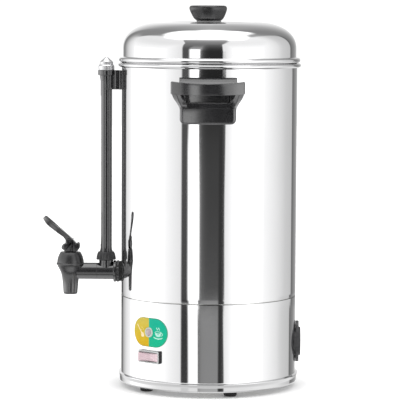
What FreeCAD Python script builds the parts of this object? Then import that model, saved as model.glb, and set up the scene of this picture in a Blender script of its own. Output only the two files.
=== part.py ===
"""Coffee urn of the percolator type: a polished tank on a heated base, with a lid, tap and sight gauge.

The urn's axis is X = Y = 0 and it stands on Z = 0. The tap points to -Y, the carry handles to +X and
-X, and the power inlet to +Y. All sizes are in millimetres and all angles in degrees.
"""
import FreeCAD, Part

import math
import os

from FreeCAD import Placement, Rotation, Vector

# Driving dimensions: the body
BODY_RADIUS = 110.0
SHEET = 0.8
SKIRT_BOTTOM = 7.0
FOOT_RING_RADIUS = 112.5
SEAM_HEIGHT = 115.0
FLOOR_HEIGHT = 122.0
WELL_RADIUS = 24.0
WELL_BOTTOM = 112.0
RIM_TOP = 406.6
RIM_CURL = 2.7

# Driving dimensions: the lid
LID_GAP = 0.4
LID_BEAD = 3.3
LID_WALL_RADIUS = 108.8
LID_SHOULDER_FOOT = 423.5
LID_CREST_RADIUS = 57.5
LID_CREST = 457.2
LID_DISH = 455.8
KNOB_TOP = 477.8
KNOB_RADIUS = 23.6

# Driving dimensions: the carry handles
HANDLE_REACH = 150.0
HANDLE_HALF_WIDTH = 44.2
HANDLE_BOTTOM = 335.5
GRIP_BOTTOM = 371.5
GRIP_HEIGHT = 12.8
GRIP_SMILE = 2.5
GRIP_DEPTH = 10.0
HANDLE_SCREW_SPREAD = 18.0
HANDLE_SCREW_HEIGHT = 346.0

# Driving dimensions: the tap, its shank and the gauge
TAP_Y = -174.0
GAUGE_Y = -129.0
SHANK_HEIGHT = 143.3
SHANK_RADIUS = 10.4
SHANK_BORE = 7.2
OUTLET_BOTTOM = 114.2
BONNET_BOTTOM = 152.4
BONNET_TOP = 167.5
LEVER_PIN_HEIGHT = 174.4
LEVER_PIN_RADIUS = 1.5
GLASS_RADIUS = 5.2
GUARD_RADIUS = 7.2
GAUGE_NUT_BOTTOM = 158.0
GAUGE_NUT_TOP = 168.0
BRACKET_BOTTOM = 372.4
BRACKET_TOP = 396.4

# Driving dimensions: the control side and the rear
PANEL_AZIMUTH = -39.6
PLATE_HEIGHT = 77.4
PLATE_SIZE = (56.4, 34.4)
LAMP_RADIUS = 4.7
SWITCH_HEIGHT = 47.4
SWITCH_SIZE = (33.4, 15.6)
ROCKER_TILT = 10.0
INLET_HEIGHT = 56.0
INLET_SIZE = (22.8, 50.0)
FOOT_COUNT = 5
FOOT_CIRCLE = 93.0

# Driving dimensions: the brewing set
PUMP_TUBE_RADIUS = 6.0
BASKET_RADIUS = 72.0
BASKET_BOTTOM = 320.0
BASKET_TOP = 400.0

# Sizes that follow from the driving dimensions, and small fixings
SHANK_THREAD = 9.0
BRACKET_SCREW_HEIGHT = (BRACKET_TOP + BRACKET_BOTTOM) / 2
KNOB_COLLAR = 3.2
TIE_CIRCLE = 84.0
TIE_START = 30.0
STUD_SPREAD = 34.0
INSERT_RADIUS = 3.5
SEAT_HEIGHT = 136.0
STEM_RADIUS = 3.2
STEM_HOLE = 3.7
LEVER_FOOT_HALF = 8.0
LEVER_ARM_HALF = 5.0
LEVER_PAD_HALF = 9.5
TEE_START = -140.5
FLANGE_START = -119.5
NUT_START = -116.5
SEAL_START = -111.8
INNER_NUT_START = -106.6
GLAND_HEIGHT = GAUGE_NUT_TOP - 6.0
LAMP_BODY = 4.5
LAMP_BEZEL = 6.7
SWITCH_BODY = (30.4, 12.8)
SWITCH_TABS = 77.5
SWITCH_FRONT = 113.8
ROCKER_AXIS = 107.4
ROCKER_FACE = 113.6
ROCKER_PIVOT = 1.3
INLET_BODY = (20.4, 27.6)
INLET_SCREW_SPREAD = 20.0
INLET_PIN_PLACES = ((-1.0, 7.0), (-1.0, -7.0), (3.0, 0.0))
INLET_PIN_SIZE = (2.0, 24.0, 4.0)
SOCKET_FLOOR = 101.0
HEATER_THICKNESS = 7.5
BLADE_FOOT = WELL_BOTTOM - 19.0
TERMINAL_CENTRE = (-46.0, 0.0, 15.8)
TERMINAL_SIZE = (18.0, 46.0, 14.0)
TERMINAL_PLACES = (-16.0, -5.5, 5.5, 16.0)
PUMP_TUBE_TOP = 414.0

UP = Vector(0, 0, 1)
OUT = Vector(1, 0, 0)
SIDE = Vector(0, 1, 0)


def corner(first, second, plane):
    """A point of an outline, in the plane XZ, YZ, XY or in the plane of a radius and Z."""
    if plane == "YZ":
        return Vector(0, first, second)
    if plane == "XY":
        return Vector(first, second, 0)
    return Vector(first, 0, second)


def outline(start, moves, plane="XZ"):
    """A face bounded by straight runs and arcs. A move is a point, or a pair of points for an arc
    that passes through the first of them to the second, or a longer list for a smooth curve."""
    edges = []
    here = corner(*start, plane)
    for move in moves + [start]:
        if isinstance(move[0], (int, float)):
            there = corner(*move, plane)
            if here.distanceToPoint(there) > 1e-6:
                edges.append(Part.makeLine(here, there))
        elif len(move) == 2:
            through = corner(*move[0], plane)
            there = corner(*move[1], plane)
            edges.append(Part.Arc(here, through, there).toShape())
        else:
            points = [here] + [corner(*point, plane) for point in move]
            there = points[-1]
            curve = Part.BSplineCurve()
            curve.interpolate(points)
            edges.append(curve.toShape())
        here = there
    return Part.Face(Part.Wire(edges))


def turned(start, moves, centre=Vector(0, 0, 0)):
    """A solid of revolution about the upright line through centre."""
    solid = outline(start, moves).revolve(Vector(0, 0, 0), UP, 360)
    solid.translate(centre)
    return solid


def slab(start, moves, plane, low, high):
    """An outline pushed from low to high along the axis that its plane leaves out."""
    axis = {"XZ": SIDE, "YZ": OUT, "XY": UP}[plane]
    face = outline(start, moves, plane)
    face.translate(axis * low)
    return face.extrude(axis * (high - low))


def tube(outer, inner, low, high, centre=Vector(0, 0, 0)):
    """An upright tube."""
    foot = centre + UP * low
    shell = Part.makeCylinder(outer, high - low, foot)
    return shell.cut(Part.makeCylinder(inner, high - low, foot)) if inner else shell


def rod(radius, start, end):
    """A round bar between two points."""
    return Part.makeCylinder(radius, start.distanceToPoint(end), start, end - start)


def pipe(outer, inner, start, end):
    """A round tube between two points."""
    return rod(outer, start, end).cut(rod(inner, start, end))


def block(size, centre):
    """A box of the given size about its centre."""
    half = Vector(*size) * 0.5
    return Part.makeBox(*size, centre - half)


def soft_block(size, centre, radius, direction):
    """A box whose four edges along a direction are rounded."""
    solid = block(size, centre)
    edges = [edge for edge in solid.Edges if is_along(edge, direction)]
    return solid.makeFillet(radius, edges)


def is_along(edge, direction):
    """Whether a straight edge runs along a direction."""
    run = edge.Vertexes[-1].Point - edge.Vertexes[0].Point
    return run.Length > 1e-6 and abs(abs(run.normalize().dot(direction)) - 1) < 1e-6


def hexagon(across_flats, start, end, spin=0.0):
    """A hexagonal bar between two points."""
    reach = across_flats / math.sqrt(3)
    angles = [math.radians(60 * step + spin) for step in range(7)]
    ring = [Vector(reach * math.cos(turn), reach * math.sin(turn), 0) for turn in angles]
    bar = Part.Face(Part.makePolygon(ring)).extrude(UP * start.distanceToPoint(end))
    bar.Placement = Placement(start, Rotation(UP, end - start))
    return bar


def fused(shapes):
    """One solid out of shapes that meet."""
    whole = shapes[0].fuse(shapes[1:]) if len(shapes) > 1 else shapes[0]
    return whole.removeSplitter()


def spun(shape, azimuth):
    """A copy turned about the urn's axis."""
    copy = shape.copy()
    copy.rotate(Vector(0, 0, 0), UP, azimuth)
    return copy


def around(shape, count, start=0.0):
    """Copies spaced evenly about the urn's axis."""
    return [spun(shape, start + 360.0 * step / count) for step in range(count)]


def route(points, radius):
    """A round wire along straight runs with an arc at each corner."""
    edges = []
    here = points[0]
    for before, at, after in zip(points, points[1:], points[2:]):
        back = before - at
        ahead = after - at
        run = min(back.Length, ahead.Length)
        inward = back.normalize() + ahead.normalize()
        half_angle = math.acos(max(-1.0, min(1.0, back.dot(ahead)))) / 2
        trim = 0.4 * run
        bend = trim * math.tan(half_angle)
        reach = bend / math.sin(half_angle) - bend
        enter = at + back * trim
        leave = at + ahead * trim
        if here.distanceToPoint(enter) > 1e-6:
            edges.append(Part.makeLine(here, enter))
        edges.append(Part.Arc(enter, at + inward.normalize() * reach, leave).toShape())
        here = leave
    edges.append(Part.makeLine(here, points[-1]))
    path = Part.Wire(edges)
    start = edges[0].Vertexes[0].Point
    ring = Part.Wire(Part.makeCircle(radius, start, points[1] - points[0]))
    return path.makePipeShell([ring], True, False)


def inside(radius):
    """Everything within a radius of the urn's axis."""
    return Part.makeCylinder(radius, 600.0)


def ring_zone(outer, inner):
    """Everything between two radii about the urn's axis."""
    return tube(outer, inner, 0.0, 600.0)


def solids_of(shape):
    """The shape's solids, as one compound when there are several."""
    solids = shape.Solids
    return solids[0] if len(solids) == 1 else Part.makeCompound(solids)


# The tank: one rolled sheet with a curled rim, and a pressed floor welded into it

def make_tank_shell():
    inner = BODY_RADIUS - SHEET
    curl_height = RIM_TOP - RIM_CURL
    curl_radius = inner + RIM_CURL
    bottom = SEAM_HEIGHT + 0.7
    end_angle = math.radians(-60)

    def on_curl(radius, angle):
        return (curl_radius + radius * math.cos(angle), curl_height + radius * math.sin(angle))

    middle = math.radians(60)
    inside_curl = RIM_CURL - SHEET
    shell = turned((inner, bottom), [
        (inner, curl_height),
        (on_curl(RIM_CURL, middle), on_curl(RIM_CURL, end_angle)),
        on_curl(inside_curl, end_angle),
        (on_curl(inside_curl, middle), (BODY_RADIUS, curl_height)),
        (BODY_RADIUS, bottom),
    ])
    holes = [rod(SHANK_THREAD + 0.15, Vector(0, -120, SHANK_HEIGHT), Vector(0, -95, SHANK_HEIGHT))]
    holes.append(rod(2.2, Vector(0, -120, BRACKET_SCREW_HEIGHT), Vector(0, -95, BRACKET_SCREW_HEIGHT)))
    for side in (-1, 1):
        for y in (-HANDLE_SCREW_SPREAD, HANDLE_SCREW_SPREAD):
            start = Vector(side * 95, y, HANDLE_SCREW_HEIGHT)
            holes.append(rod(2.7, start, start + OUT * side * 25))
    return shell.cut(holes)


def make_tank_floor():
    flange_inner = BODY_RADIUS - 2 * SHEET
    outer = BODY_RADIUS - SHEET
    under = FLOOR_HEIGHT - 1.0
    well_inner = WELL_RADIUS - 1.0
    return turned((0, WELL_BOTTOM), [
        (WELL_RADIUS, WELL_BOTTOM),
        (WELL_RADIUS, under),
        (flange_inner, under),
        (flange_inner, SEAM_HEIGHT),
        (outer, SEAM_HEIGHT),
        (outer, FLOOR_HEIGHT),
        (well_inner, FLOOR_HEIGHT),
        (well_inner, WELL_BOTTOM + 1.0),
        (0, WELL_BOTTOM + 1.0),
    ])


# The lid: a pressed dome whose wall bulges into the bead that rests on the rim

def shoulder_point(angle, radial, rise):
    """A point of the lid's shoulder, a superellipse from the crest down to the wall."""
    power = 2 / 2.25
    across = radial * math.cos(angle) ** power
    up = rise * math.sin(angle) ** power
    return (LID_CREST_RADIUS + across, LID_SHOULDER_FOOT + up)


def make_lid_shell():
    wall_inner = LID_WALL_RADIUS - SHEET
    bead_bottom = RIM_TOP + LID_GAP
    bead_middle = bead_bottom + LID_BEAD
    bead_top = bead_bottom + 2 * LID_BEAD
    bead_centre = LID_WALL_RADIUS + 1.7
    spigot = LID_WALL_RADIUS - 0.5
    spigot_bottom = 398.5
    inner_bead = LID_BEAD - SHEET
    screw_hole = 2.7
    radial = LID_WALL_RADIUS - LID_CREST_RADIUS
    rise = LID_CREST - LID_SHOULDER_FOOT
    steps = [math.radians(angle) for angle in (78, 66, 54, 42, 30, 18, 8)]
    outer = [shoulder_point(step, radial, rise) for step in steps]
    outer.append((LID_WALL_RADIUS, LID_SHOULDER_FOOT))
    inner = [shoulder_point(step, radial - SHEET, rise - SHEET) for step in reversed(steps)]
    return turned((screw_hole, LID_DISH), [
        (50.0, LID_DISH),
        ((54.0, LID_DISH + 0.9), (LID_CREST_RADIUS, LID_CREST)),
        outer,
        (LID_WALL_RADIUS, bead_top),
        (bead_centre, bead_top),
        ((bead_centre + LID_BEAD, bead_middle), (bead_centre, bead_bottom)),
        (spigot, bead_bottom),
        (spigot, spigot_bottom),
        (spigot - SHEET, spigot_bottom),
        (spigot - SHEET, bead_bottom + SHEET),
        (bead_centre, bead_bottom + SHEET),
        ((bead_centre + inner_bead, bead_middle), (bead_centre, bead_top - SHEET)),
        (wall_inner, bead_top - SHEET),
        (wall_inner, LID_SHOULDER_FOOT),
        inner + [(LID_CREST_RADIUS, LID_CREST - SHEET)],
        ((54.0, LID_DISH + 0.1), (50.0, LID_DISH - SHEET)),
        (screw_hole, LID_DISH - SHEET),
    ])


def make_lid_knob():
    bottom = LID_DISH + KNOB_COLLAR
    bore = 2.1
    return turned((bore, bottom), [
        (15.6, bottom),
        ((18.0, bottom + 2.4), (20.6, bottom + 6.4)),
        ((22.6, bottom + 10.6), (KNOB_RADIUS, KNOB_TOP - 4.0)),
        ((KNOB_RADIUS - 0.7, KNOB_TOP - 1.0), (KNOB_RADIUS - 3.0, KNOB_TOP)),
        (16.0, KNOB_TOP),
        ((8.0, KNOB_TOP - 0.9), (1.5, KNOB_TOP - 1.2)),
        (0, KNOB_TOP - 1.2),
        (0, bottom + 12.0),
        (bore, bottom + 12.0),
    ])


def make_knob_collar():
    return tube(15.4, 2.7, LID_DISH, LID_DISH + KNOB_COLLAR)


def make_knob_screw():
    head_top = LID_DISH - SHEET
    head = tube(4.6, 0, head_top - 2.6, head_top)
    washer = tube(7.5, 0, head_top - 0.8, head_top)
    shank = tube(2.0, 0, head_top, LID_DISH + KNOB_COLLAR + 11.0)
    slot = block((1.0, 12.0, 1.2), Vector(0, 0, head_top - 2.6))
    return fused([head, washer, shank]).cut(slot)


# The base: a shell with a stepped foot ring, closed by a plate on five feet

def make_base_shell():
    inner = BODY_RADIUS - SHEET
    lip = FOOT_RING_RADIUS - 8.5
    ring_inner = FOOT_RING_RADIUS - SHEET
    band_top = SKIRT_BOTTOM + 6.4
    step_radius = 111.2
    step_top = SKIRT_BOTTOM + 10.4
    upstand = BODY_RADIUS - 2.0
    shell = turned((lip, SKIRT_BOTTOM), [
        (FOOT_RING_RADIUS - 1.3, SKIRT_BOTTOM),
        ((FOOT_RING_RADIUS - 0.4, SKIRT_BOTTOM + 0.4), (FOOT_RING_RADIUS, SKIRT_BOTTOM + 1.3)),
        (FOOT_RING_RADIUS, band_top),
        ((FOOT_RING_RADIUS - 0.4, band_top + 0.7), (step_radius, band_top + 1.0)),
        (step_radius, step_top - 0.9),
        ((step_radius - 0.35, step_top - 0.3), (BODY_RADIUS, step_top)),
        (BODY_RADIUS, SEAM_HEIGHT - 0.5),
        ((BODY_RADIUS - 0.15, SEAM_HEIGHT - 0.15), (BODY_RADIUS - 0.5, SEAM_HEIGHT)),
        (upstand, SEAM_HEIGHT),
        (upstand, SEAM_HEIGHT + 4.0),
        (upstand - SHEET, SEAM_HEIGHT + 4.0),
        (upstand - SHEET, SEAM_HEIGHT - SHEET),
        (inner, SEAM_HEIGHT - SHEET),
        (inner, step_top + 0.4),
        (step_radius - SHEET, step_top - 0.6),
        (step_radius - SHEET, band_top + 1.5),
        (ring_inner, band_top),
        (ring_inner, SKIRT_BOTTOM + 1.4),
        (ring_inner - 0.6, SKIRT_BOTTOM + SHEET),
        (lip, SKIRT_BOTTOM + SHEET),
    ])
    radial = Vector(BODY_RADIUS, 0, 0)
    lamp_hole = rod(LAMP_BODY + 0.1, Vector(95, 0, PLATE_HEIGHT), Vector(120, 0, PLATE_HEIGHT))
    switch_hole = block((30.0, SWITCH_BODY[0] + 0.4, SWITCH_BODY[1] + 0.4), radial + UP * SWITCH_HEIGHT)
    inlet_centre = Vector(0, BODY_RADIUS, INLET_HEIGHT)
    inlet_hole = block((INLET_BODY[0] + 0.6, 30.0, INLET_BODY[1] + 0.6), inlet_centre)
    screw_holes = []
    for side in (-1, 1):
        at = inlet_centre + UP * side * INLET_SCREW_SPREAD
        screw_holes.append(rod(1.9, at - SIDE * 12, at + SIDE * 8))
    panel = [spun(lamp_hole, PANEL_AZIMUTH), spun(switch_hole, PANEL_AZIMUTH)]
    return shell.cut(panel + [inlet_hole] + screw_holes)


def foot_centre():
    return Vector(0, FOOT_CIRCLE, 0)


def make_base_plate():
    low = SKIRT_BOTTOM + SHEET
    plate = tube(110.6, 0, low, low + 1.0)
    foot_hole = rod(2.1, foot_centre(), foot_centre() + UP * 20)
    tie_hole = rod(2.7, Vector(TIE_CIRCLE, 0, 0), Vector(TIE_CIRCLE, 0, 20))
    half = 2.0
    slot = slab((-half, 20.0), [
        (-half, 44.0),
        ((0.0, 44.0 + half), (half, 44.0)),
        (half, 20.0),
        ((0.0, 20.0 - half), (-half, 20.0)),
    ], "XY", 0.0, 20.0)
    vents = around(slot, 16)
    return plate.cut(around(foot_hole, FOOT_COUNT) + around(tie_hole, 3, TIE_START) + vents)


def make_foot():
    """One rubber foot: a stepped bumper with a recess for its screw."""
    top = SKIRT_BOTTOM + SHEET
    return turned((2.1, 4.6), [
        (4.2, 4.6),
        (4.2, 0.0),
        (6.6, 0.0),
        ((7.4, 0.3), (7.9, 1.1)),
        (8.7, top),
        (2.1, top),
    ], foot_centre())


def make_foot_screw():
    base = foot_centre()
    head = rod(3.6, base + UP * 2.4, base + UP * 4.6)
    shank = rod(2.0, base + UP * 4.6, base + UP * 14.0)
    slot = block((0.9, 9.0, 1.0), base + UP * 2.4)
    return fused([head, shank]).cut(slot)


def make_tie_rod():
    at = Vector(TIE_CIRCLE, 0, 0)
    return rod(2.5, at + UP * 3.4, at + UP * (FLOOR_HEIGHT - 1.0))


def make_tie_nut():
    at = Vector(TIE_CIRCLE, 0, 0)
    nut = hexagon(8.0, at + UP * 3.8, at + UP * 6.8)
    washer = rod(5.2, at + UP * 6.8, at + UP * (SKIRT_BOTTOM + SHEET))
    return fused([nut, washer]).cut(rod(2.5, at, at + UP * 20))


# The carry handle: one moulding with a wall plate, a lower boss, two arms and a bowed grip

def make_handle():
    """The +X handle, in the frame of the urn."""
    boss_bottom = HANDLE_BOTTOM
    boss_top = 361.0
    boss_wide = 32.9
    near, far = 90.0, 170.0
    grip_end_low = GRIP_BOTTOM + GRIP_SMILE - 0.6
    grip_end_top = GRIP_BOTTOM + GRIP_HEIGHT + GRIP_SMILE
    reach = HANDLE_REACH
    wide = HANDLE_HALF_WIDTH
    round_in = 3.0
    grip_face = slab((-wide, grip_end_low), [
        (-wide, grip_end_top - round_in),
        ((-wide + 0.9, grip_end_top - 0.9), (-wide + round_in, grip_end_top)),
        ((0.0, grip_end_top - GRIP_SMILE), (wide - round_in, grip_end_top)),
        ((wide - 0.9, grip_end_top - 0.9), (wide, grip_end_top - round_in)),
        (wide, grip_end_low),
        ((0.0, GRIP_BOTTOM), (-wide, grip_end_low)),
    ], "YZ", near, far)
    grip = grip_face.common(ring_zone(reach, reach - GRIP_DEPTH))

    outer_edge = [(33.6, 350.0), (36.0, 358.5), (40.0, 366.0), (wide, grip_end_low + 1.0)]
    inner_edge = [(36.0, grip_end_low + 1.0), (29.5, 366.0), (24.2, 360.6)]
    corner_in = 4.2
    arms = []
    arm_profile = slab((112.0, boss_bottom), [
        (125.0, boss_bottom),
        (126.5, 352.0),
        ((135.0, 361.5), (reach - 0.4, GRIP_BOTTOM + 3.0)),
        (reach - 0.4, GRIP_BOTTOM + 8.0),
        (reach - GRIP_DEPTH, GRIP_BOTTOM + 8.0),
        ((127.0, 369.0), (116.0, boss_top)),
        (112.0, boss_top),
    ], "XZ", -60.0, 60.0)
    for side in (-1, 1):
        outer_curve = [(side * width, height) for width, height in outer_edge]
        inner_curve = [(side * width, height) for width, height in inner_edge]
        arm = slab((side * 22.0, 341.0), [
            (side * boss_wide, 341.0),
            outer_curve,
            (side * 40.0, GRIP_BOTTOM + 7.0),
            (side * 36.5, GRIP_BOTTOM + 7.0),
            *inner_curve,
            (side * 22.0, inner_edge[-1][1]),
        ], "YZ", near, far)
        arms.append(arm.common(arm_profile).common(ring_zone(reach, BODY_RADIUS)))

    boss_face = slab((-boss_wide, boss_bottom + corner_in), [
        (-boss_wide, 350.0),
        (-33.6, 355.4),
        (-24.2, boss_top),
        (24.2, boss_top),
        (33.6, 355.4),
        (boss_wide, 350.0),
        (boss_wide, boss_bottom + corner_in),
        ((boss_wide - 1.2, boss_bottom + 1.2), (boss_wide - corner_in, boss_bottom)),
        (corner_in - boss_wide, boss_bottom),
        ((1.2 - boss_wide, boss_bottom + 1.2), (-boss_wide, boss_bottom + corner_in)),
    ], "YZ", near, far)
    boss_profile = outline((BODY_RADIUS, boss_bottom), [
        (125.4, boss_bottom),
        (126.4, boss_bottom + 1.0),
        (126.4, 354.8),
        ((125.9, 355.9), (124.6, 356.6)),
        (115.0, boss_top),
        (BODY_RADIUS, boss_top),
    ]).revolve(Vector(0, 0, 0), UP, 360)
    boss = boss_face.common(boss_profile)

    plate_top = 390.4
    neck = 24.5
    flange = 35.0
    wall_face = slab((-neck, 350.0), [
        (-neck, 382.0),
        (-flange, 384.0),
        (-flange, plate_top),
        (flange, plate_top),
        (flange, 384.0),
        (neck, 382.0),
        (neck, 350.0),
    ], "YZ", near, far)
    wall_plate = wall_face.common(ring_zone(BODY_RADIUS + 4.2, BODY_RADIUS))

    handle = fused([grip, boss, wall_plate] + arms)
    holes = []
    for y in (-HANDLE_SCREW_SPREAD, HANDLE_SCREW_SPREAD):
        start = Vector(100.0, y, HANDLE_SCREW_HEIGHT)
        holes.append(rod(INSERT_RADIUS, start, start + OUT * 22.0))
    return handle.cut(holes)


def handle_hardware(make_piece):
    """A piece of the handle's fixings at all four screw places."""
    pieces = []
    for turn in (0, 180):
        for y in (-HANDLE_SCREW_SPREAD, HANDLE_SCREW_SPREAD):
            pieces.append(spun(make_piece(Vector(0, y, HANDLE_SCREW_HEIGHT)), turn))
    return Part.makeCompound(pieces)


def wall_inside(y):
    """How far out the tank's inner face is at this sideways place."""
    return math.sqrt((BODY_RADIUS - SHEET) ** 2 - y * y)


def make_insert(at):
    outer = wall_inside(at.y) + SHEET + 0.6
    return pipe(INSERT_RADIUS, 2.5, at + OUT * outer, at + OUT * 122.0)


def make_handle_washer(at):
    face = wall_inside(at.y) - 2.2
    disc = pipe(5.5, 2.5, at + OUT * face, at + OUT * (face + 5.0))
    return disc.common(inside(BODY_RADIUS - SHEET))


def make_handle_screw(at):
    face = wall_inside(at.y) - 2.2
    head = rod(4.6, at + OUT * (face - 2.6), at + OUT * face)
    shank = rod(2.5, at + OUT * face, at + OUT * 120.0)
    slot = block((1.2, 1.1, 12.0), at + OUT * (face - 2.6))
    return fused([head, shank]).cut(slot)


# The tap: body and outlet, bonnet, lever, and the stem that lifts its seat cup

def make_tap_body():
    centre = Vector(0, TAP_Y, 0)
    rim = 16.9
    body = turned((0, OUTLET_BOTTOM), [
        (8.3, OUTLET_BOTTOM),
        (8.75, OUTLET_BOTTOM + 0.5),
        (10.1, 132.0),
        ((12.2, 141.0), (16.2, 149.8)),
        (rim, 150.6),
        (rim, BONNET_BOTTOM),
        (0, BONNET_BOTTOM),
    ], centre)
    stub = rod(SHANK_RADIUS, Vector(0, TAP_Y, SHANK_HEIGHT), Vector(0, TEE_START, SHANK_HEIGHT))
    outlet = tube(6.4, 0, OUTLET_BOTTOM, SEAT_HEIGHT + 1.0, centre)
    chamber = turned((0, SEAT_HEIGHT), [
        (8.4, SEAT_HEIGHT),
        (9.2, 141.0),
        (13.4, 149.6),
        (13.4, BONNET_BOTTOM),
        (0, BONNET_BOTTOM),
    ], centre)
    bore = rod(SHANK_BORE, Vector(0, TAP_Y + 6.0, SHANK_HEIGHT), Vector(0, TEE_START, SHANK_HEIGHT))
    bonnet_space = tube(17.6, 0, BONNET_BOTTOM, BONNET_TOP, centre)
    return fused([body, stub]).cut([outlet, chamber, bore, bonnet_space])


def make_tap_bonnet():
    wall = 2.2
    return turned((STEM_HOLE, BONNET_TOP), [
        (5.6, BONNET_TOP),
        (12.3, BONNET_TOP - 0.2),
        ((15.4, 161.4), (17.3, BONNET_BOTTOM + 1.2)),
        (17.3, BONNET_BOTTOM),
        (14.0, BONNET_BOTTOM),
        ((12.6, 160.0), (10.6, BONNET_TOP - wall - 0.8)),
        (STEM_HOLE, BONNET_TOP - wall - 0.8),
    ], Vector(0, TAP_Y, 0))


def make_tap_stem():
    centre = Vector(0, TAP_Y, 0)
    top = LEVER_PIN_HEIGHT + 3.4
    shaft = tube(STEM_RADIUS, 0, SEAT_HEIGHT + 1.0, top, centre)
    shoulder = tube(5.4, 0, 143.0, 144.6, centre)
    pin = Vector(0, TAP_Y, LEVER_PIN_HEIGHT)
    hole = rod(LEVER_PIN_RADIUS + 0.08, pin - OUT * 10, pin + OUT * 10)
    return fused([shaft, shoulder]).cut(hole)


def make_seat_cup():
    return turned((STEM_RADIUS, SEAT_HEIGHT + 1.0), [
        (0, SEAT_HEIGHT + 1.0),
        (0, SEAT_HEIGHT - 0.6),
        ((3.4, SEAT_HEIGHT - 0.4), (5.9, SEAT_HEIGHT + 0.3)),
        (7.8, SEAT_HEIGHT + 0.3),
        (8.0, 140.8),
        (6.4, 142.8),
        (STEM_RADIUS, 142.8),
    ], Vector(0, TAP_Y, 0))


def make_tap_spring():
    wire = 0.6
    coil = 6.6
    low = 144.6 + wire
    high = BONNET_TOP - 3.0 - wire
    turns = 6
    helix = Part.makeHelix((high - low) / turns, high - low, coil)
    start = Vector(coil, 0, 0)
    ring = Part.Wire(Part.makeCircle(wire, start, SIDE))
    spring = Part.Wire(helix.Edges).makePipeShell([ring], True, True)
    spring.translate(Vector(0, TAP_Y, low))
    return spring


def make_tap_lever():
    """A forked foot on the pin, an arm that rises outwards, and a dished thumb pad."""
    y = TAP_Y
    z = LEVER_PIN_HEIGHT
    foot = slab((y - 7.6, 168.0), [
        (y - 7.6, 170.4),
        ((y - 10.7, z - 0.9), (y - 7.4, z + 2.6)),
        (y - 5.8, z + 3.4),
        (y - 5.8, z + 7.2),
        (y + 7.8, z + 2.6),
        ((y + 9.4, z + 4.7), (y + 11.2, z + 2.6)),
        ((y + 11.9, z - 1.6), (y + 8.4, 168.4)),
        (y + 7.0, 168.0),
    ], "YZ", -LEVER_FOOT_HALF, LEVER_FOOT_HALF)
    arm = slab((y - 5.8, z + 4.0), [
        (y - 5.8, z + 7.0),
        (y - 15.5, z + 15.5),
        ((y - 25.3, z + 22.7), (y - 31.8, z + 29.3)),
        (y - 34.6, z + 34.4),
        (y - 31.8, z + 37.8),
        (y - 29.6, z + 35.0),
        (y - 12.4, z + 22.8),
        (y + 7.8, z + 2.7),
        (y + 4.0, z + 1.0),
    ], "YZ", -LEVER_PAD_HALF, LEVER_PAD_HALF)
    plan = slab((LEVER_ARM_HALF, y + 12.0), [
        (LEVER_ARM_HALF, y - 12.0),
        ((LEVER_ARM_HALF + 1.2, y - 16.5), (LEVER_PAD_HALF, y - 24.0)),
        ((0.0, y - 36.5), (-LEVER_PAD_HALF, y - 24.0)),
        ((-LEVER_ARM_HALF - 1.2, y - 16.5), (-LEVER_ARM_HALF, y - 12.0)),
        (-LEVER_ARM_HALF, y + 12.0),
    ], "XY", 150.0, 230.0)
    pad_dish = Part.makeSphere(26.0, Vector(0, y - 7.0, z + 48.5))
    fork_gap = block((2 * STEM_RADIUS + 0.8, 40.0, 13.2), Vector(0, y, 167.6 + 5.0))
    lever = fused([foot, arm.common(plan)]).cut([pad_dish, fork_gap])
    holes = [rod(LEVER_PIN_RADIUS, Vector(-20, y, z), Vector(20, y, z))]
    for side in (-1, 1):
        slot = Vector(side * (LEVER_FOOT_HALF + 0.2), y + 1.6, z - 2.6)
        holes.append(block((2.4, 2.4, 9.4), slot))
    return lever.cut(holes)


def make_lever_pin():
    pin = Vector(0, TAP_Y, LEVER_PIN_HEIGHT)
    reach = OUT * (LEVER_FOOT_HALF - 0.2)
    return rod(LEVER_PIN_RADIUS, pin - reach, pin + reach)


# The shank: a tee that carries the gauge, clamped through the tank's wall

def make_gauge_shank():
    def at(y):
        return Vector(0, y, SHANK_HEIGHT)

    run = rod(SHANK_RADIUS, at(TEE_START), at(FLANGE_START))
    flange = rod(13.7, at(FLANGE_START), at(NUT_START))
    tail = rod(SHANK_THREAD, at(NUT_START), at(-99.5))
    gauge = Vector(0, GAUGE_Y, 0)
    neck = tube(9.6, 0, SHANK_HEIGHT, GAUGE_NUT_BOTTOM - 0.4, gauge)
    thread = tube(8.2, 0, SHANK_HEIGHT, GLAND_HEIGHT, gauge)
    saddle = turned((0, SHANK_HEIGHT), [
        (11.4, SHANK_HEIGHT),
        ((10.8, 150.4), (9.6, 153.6)),
        (0, 153.6),
    ], gauge)
    whole = fused([run, flange, tail, neck, thread, saddle])
    water_way = rod(SHANK_BORE, at(TEE_START), at(-99.5))
    glass_seat = tube(GLASS_RADIUS + 0.1, 0, SHANK_HEIGHT + 4.0, GLAND_HEIGHT, gauge)
    return whole.cut([water_way, glass_seat])


def make_shank_nut():
    start = Vector(0, NUT_START, SHANK_HEIGHT)
    end = Vector(0, SEAL_START, SHANK_HEIGHT)
    nut = hexagon(25.4, start, end, 30)
    round_off = rod(13.6, start, end)
    return nut.common(round_off).cut(rod(SHANK_THREAD, start, end))


def make_shank_seals():
    bore = rod(SHANK_THREAD, Vector(0, -120, SHANK_HEIGHT), Vector(0, -90, SHANK_HEIGHT))
    outer = rod(12.6, Vector(0, SEAL_START, SHANK_HEIGHT), Vector(0, -105, SHANK_HEIGHT))
    inner = rod(13.0, Vector(0, -112, SHANK_HEIGHT), Vector(0, INNER_NUT_START, SHANK_HEIGHT))
    outer = outer.cut([bore, inside(BODY_RADIUS)])
    inner = inner.common(inside(BODY_RADIUS - SHEET)).cut(bore)
    return Part.makeCompound([outer, inner])


def make_shank_inner_nut():
    start = Vector(0, INNER_NUT_START, SHANK_HEIGHT)
    end = start + SIDE * 5.6
    return hexagon(26.0, start, end, 30).cut(rod(SHANK_THREAD, start, end))


# The sight gauge: a glass in a black guard, held by a gland nut and a bracket

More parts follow.
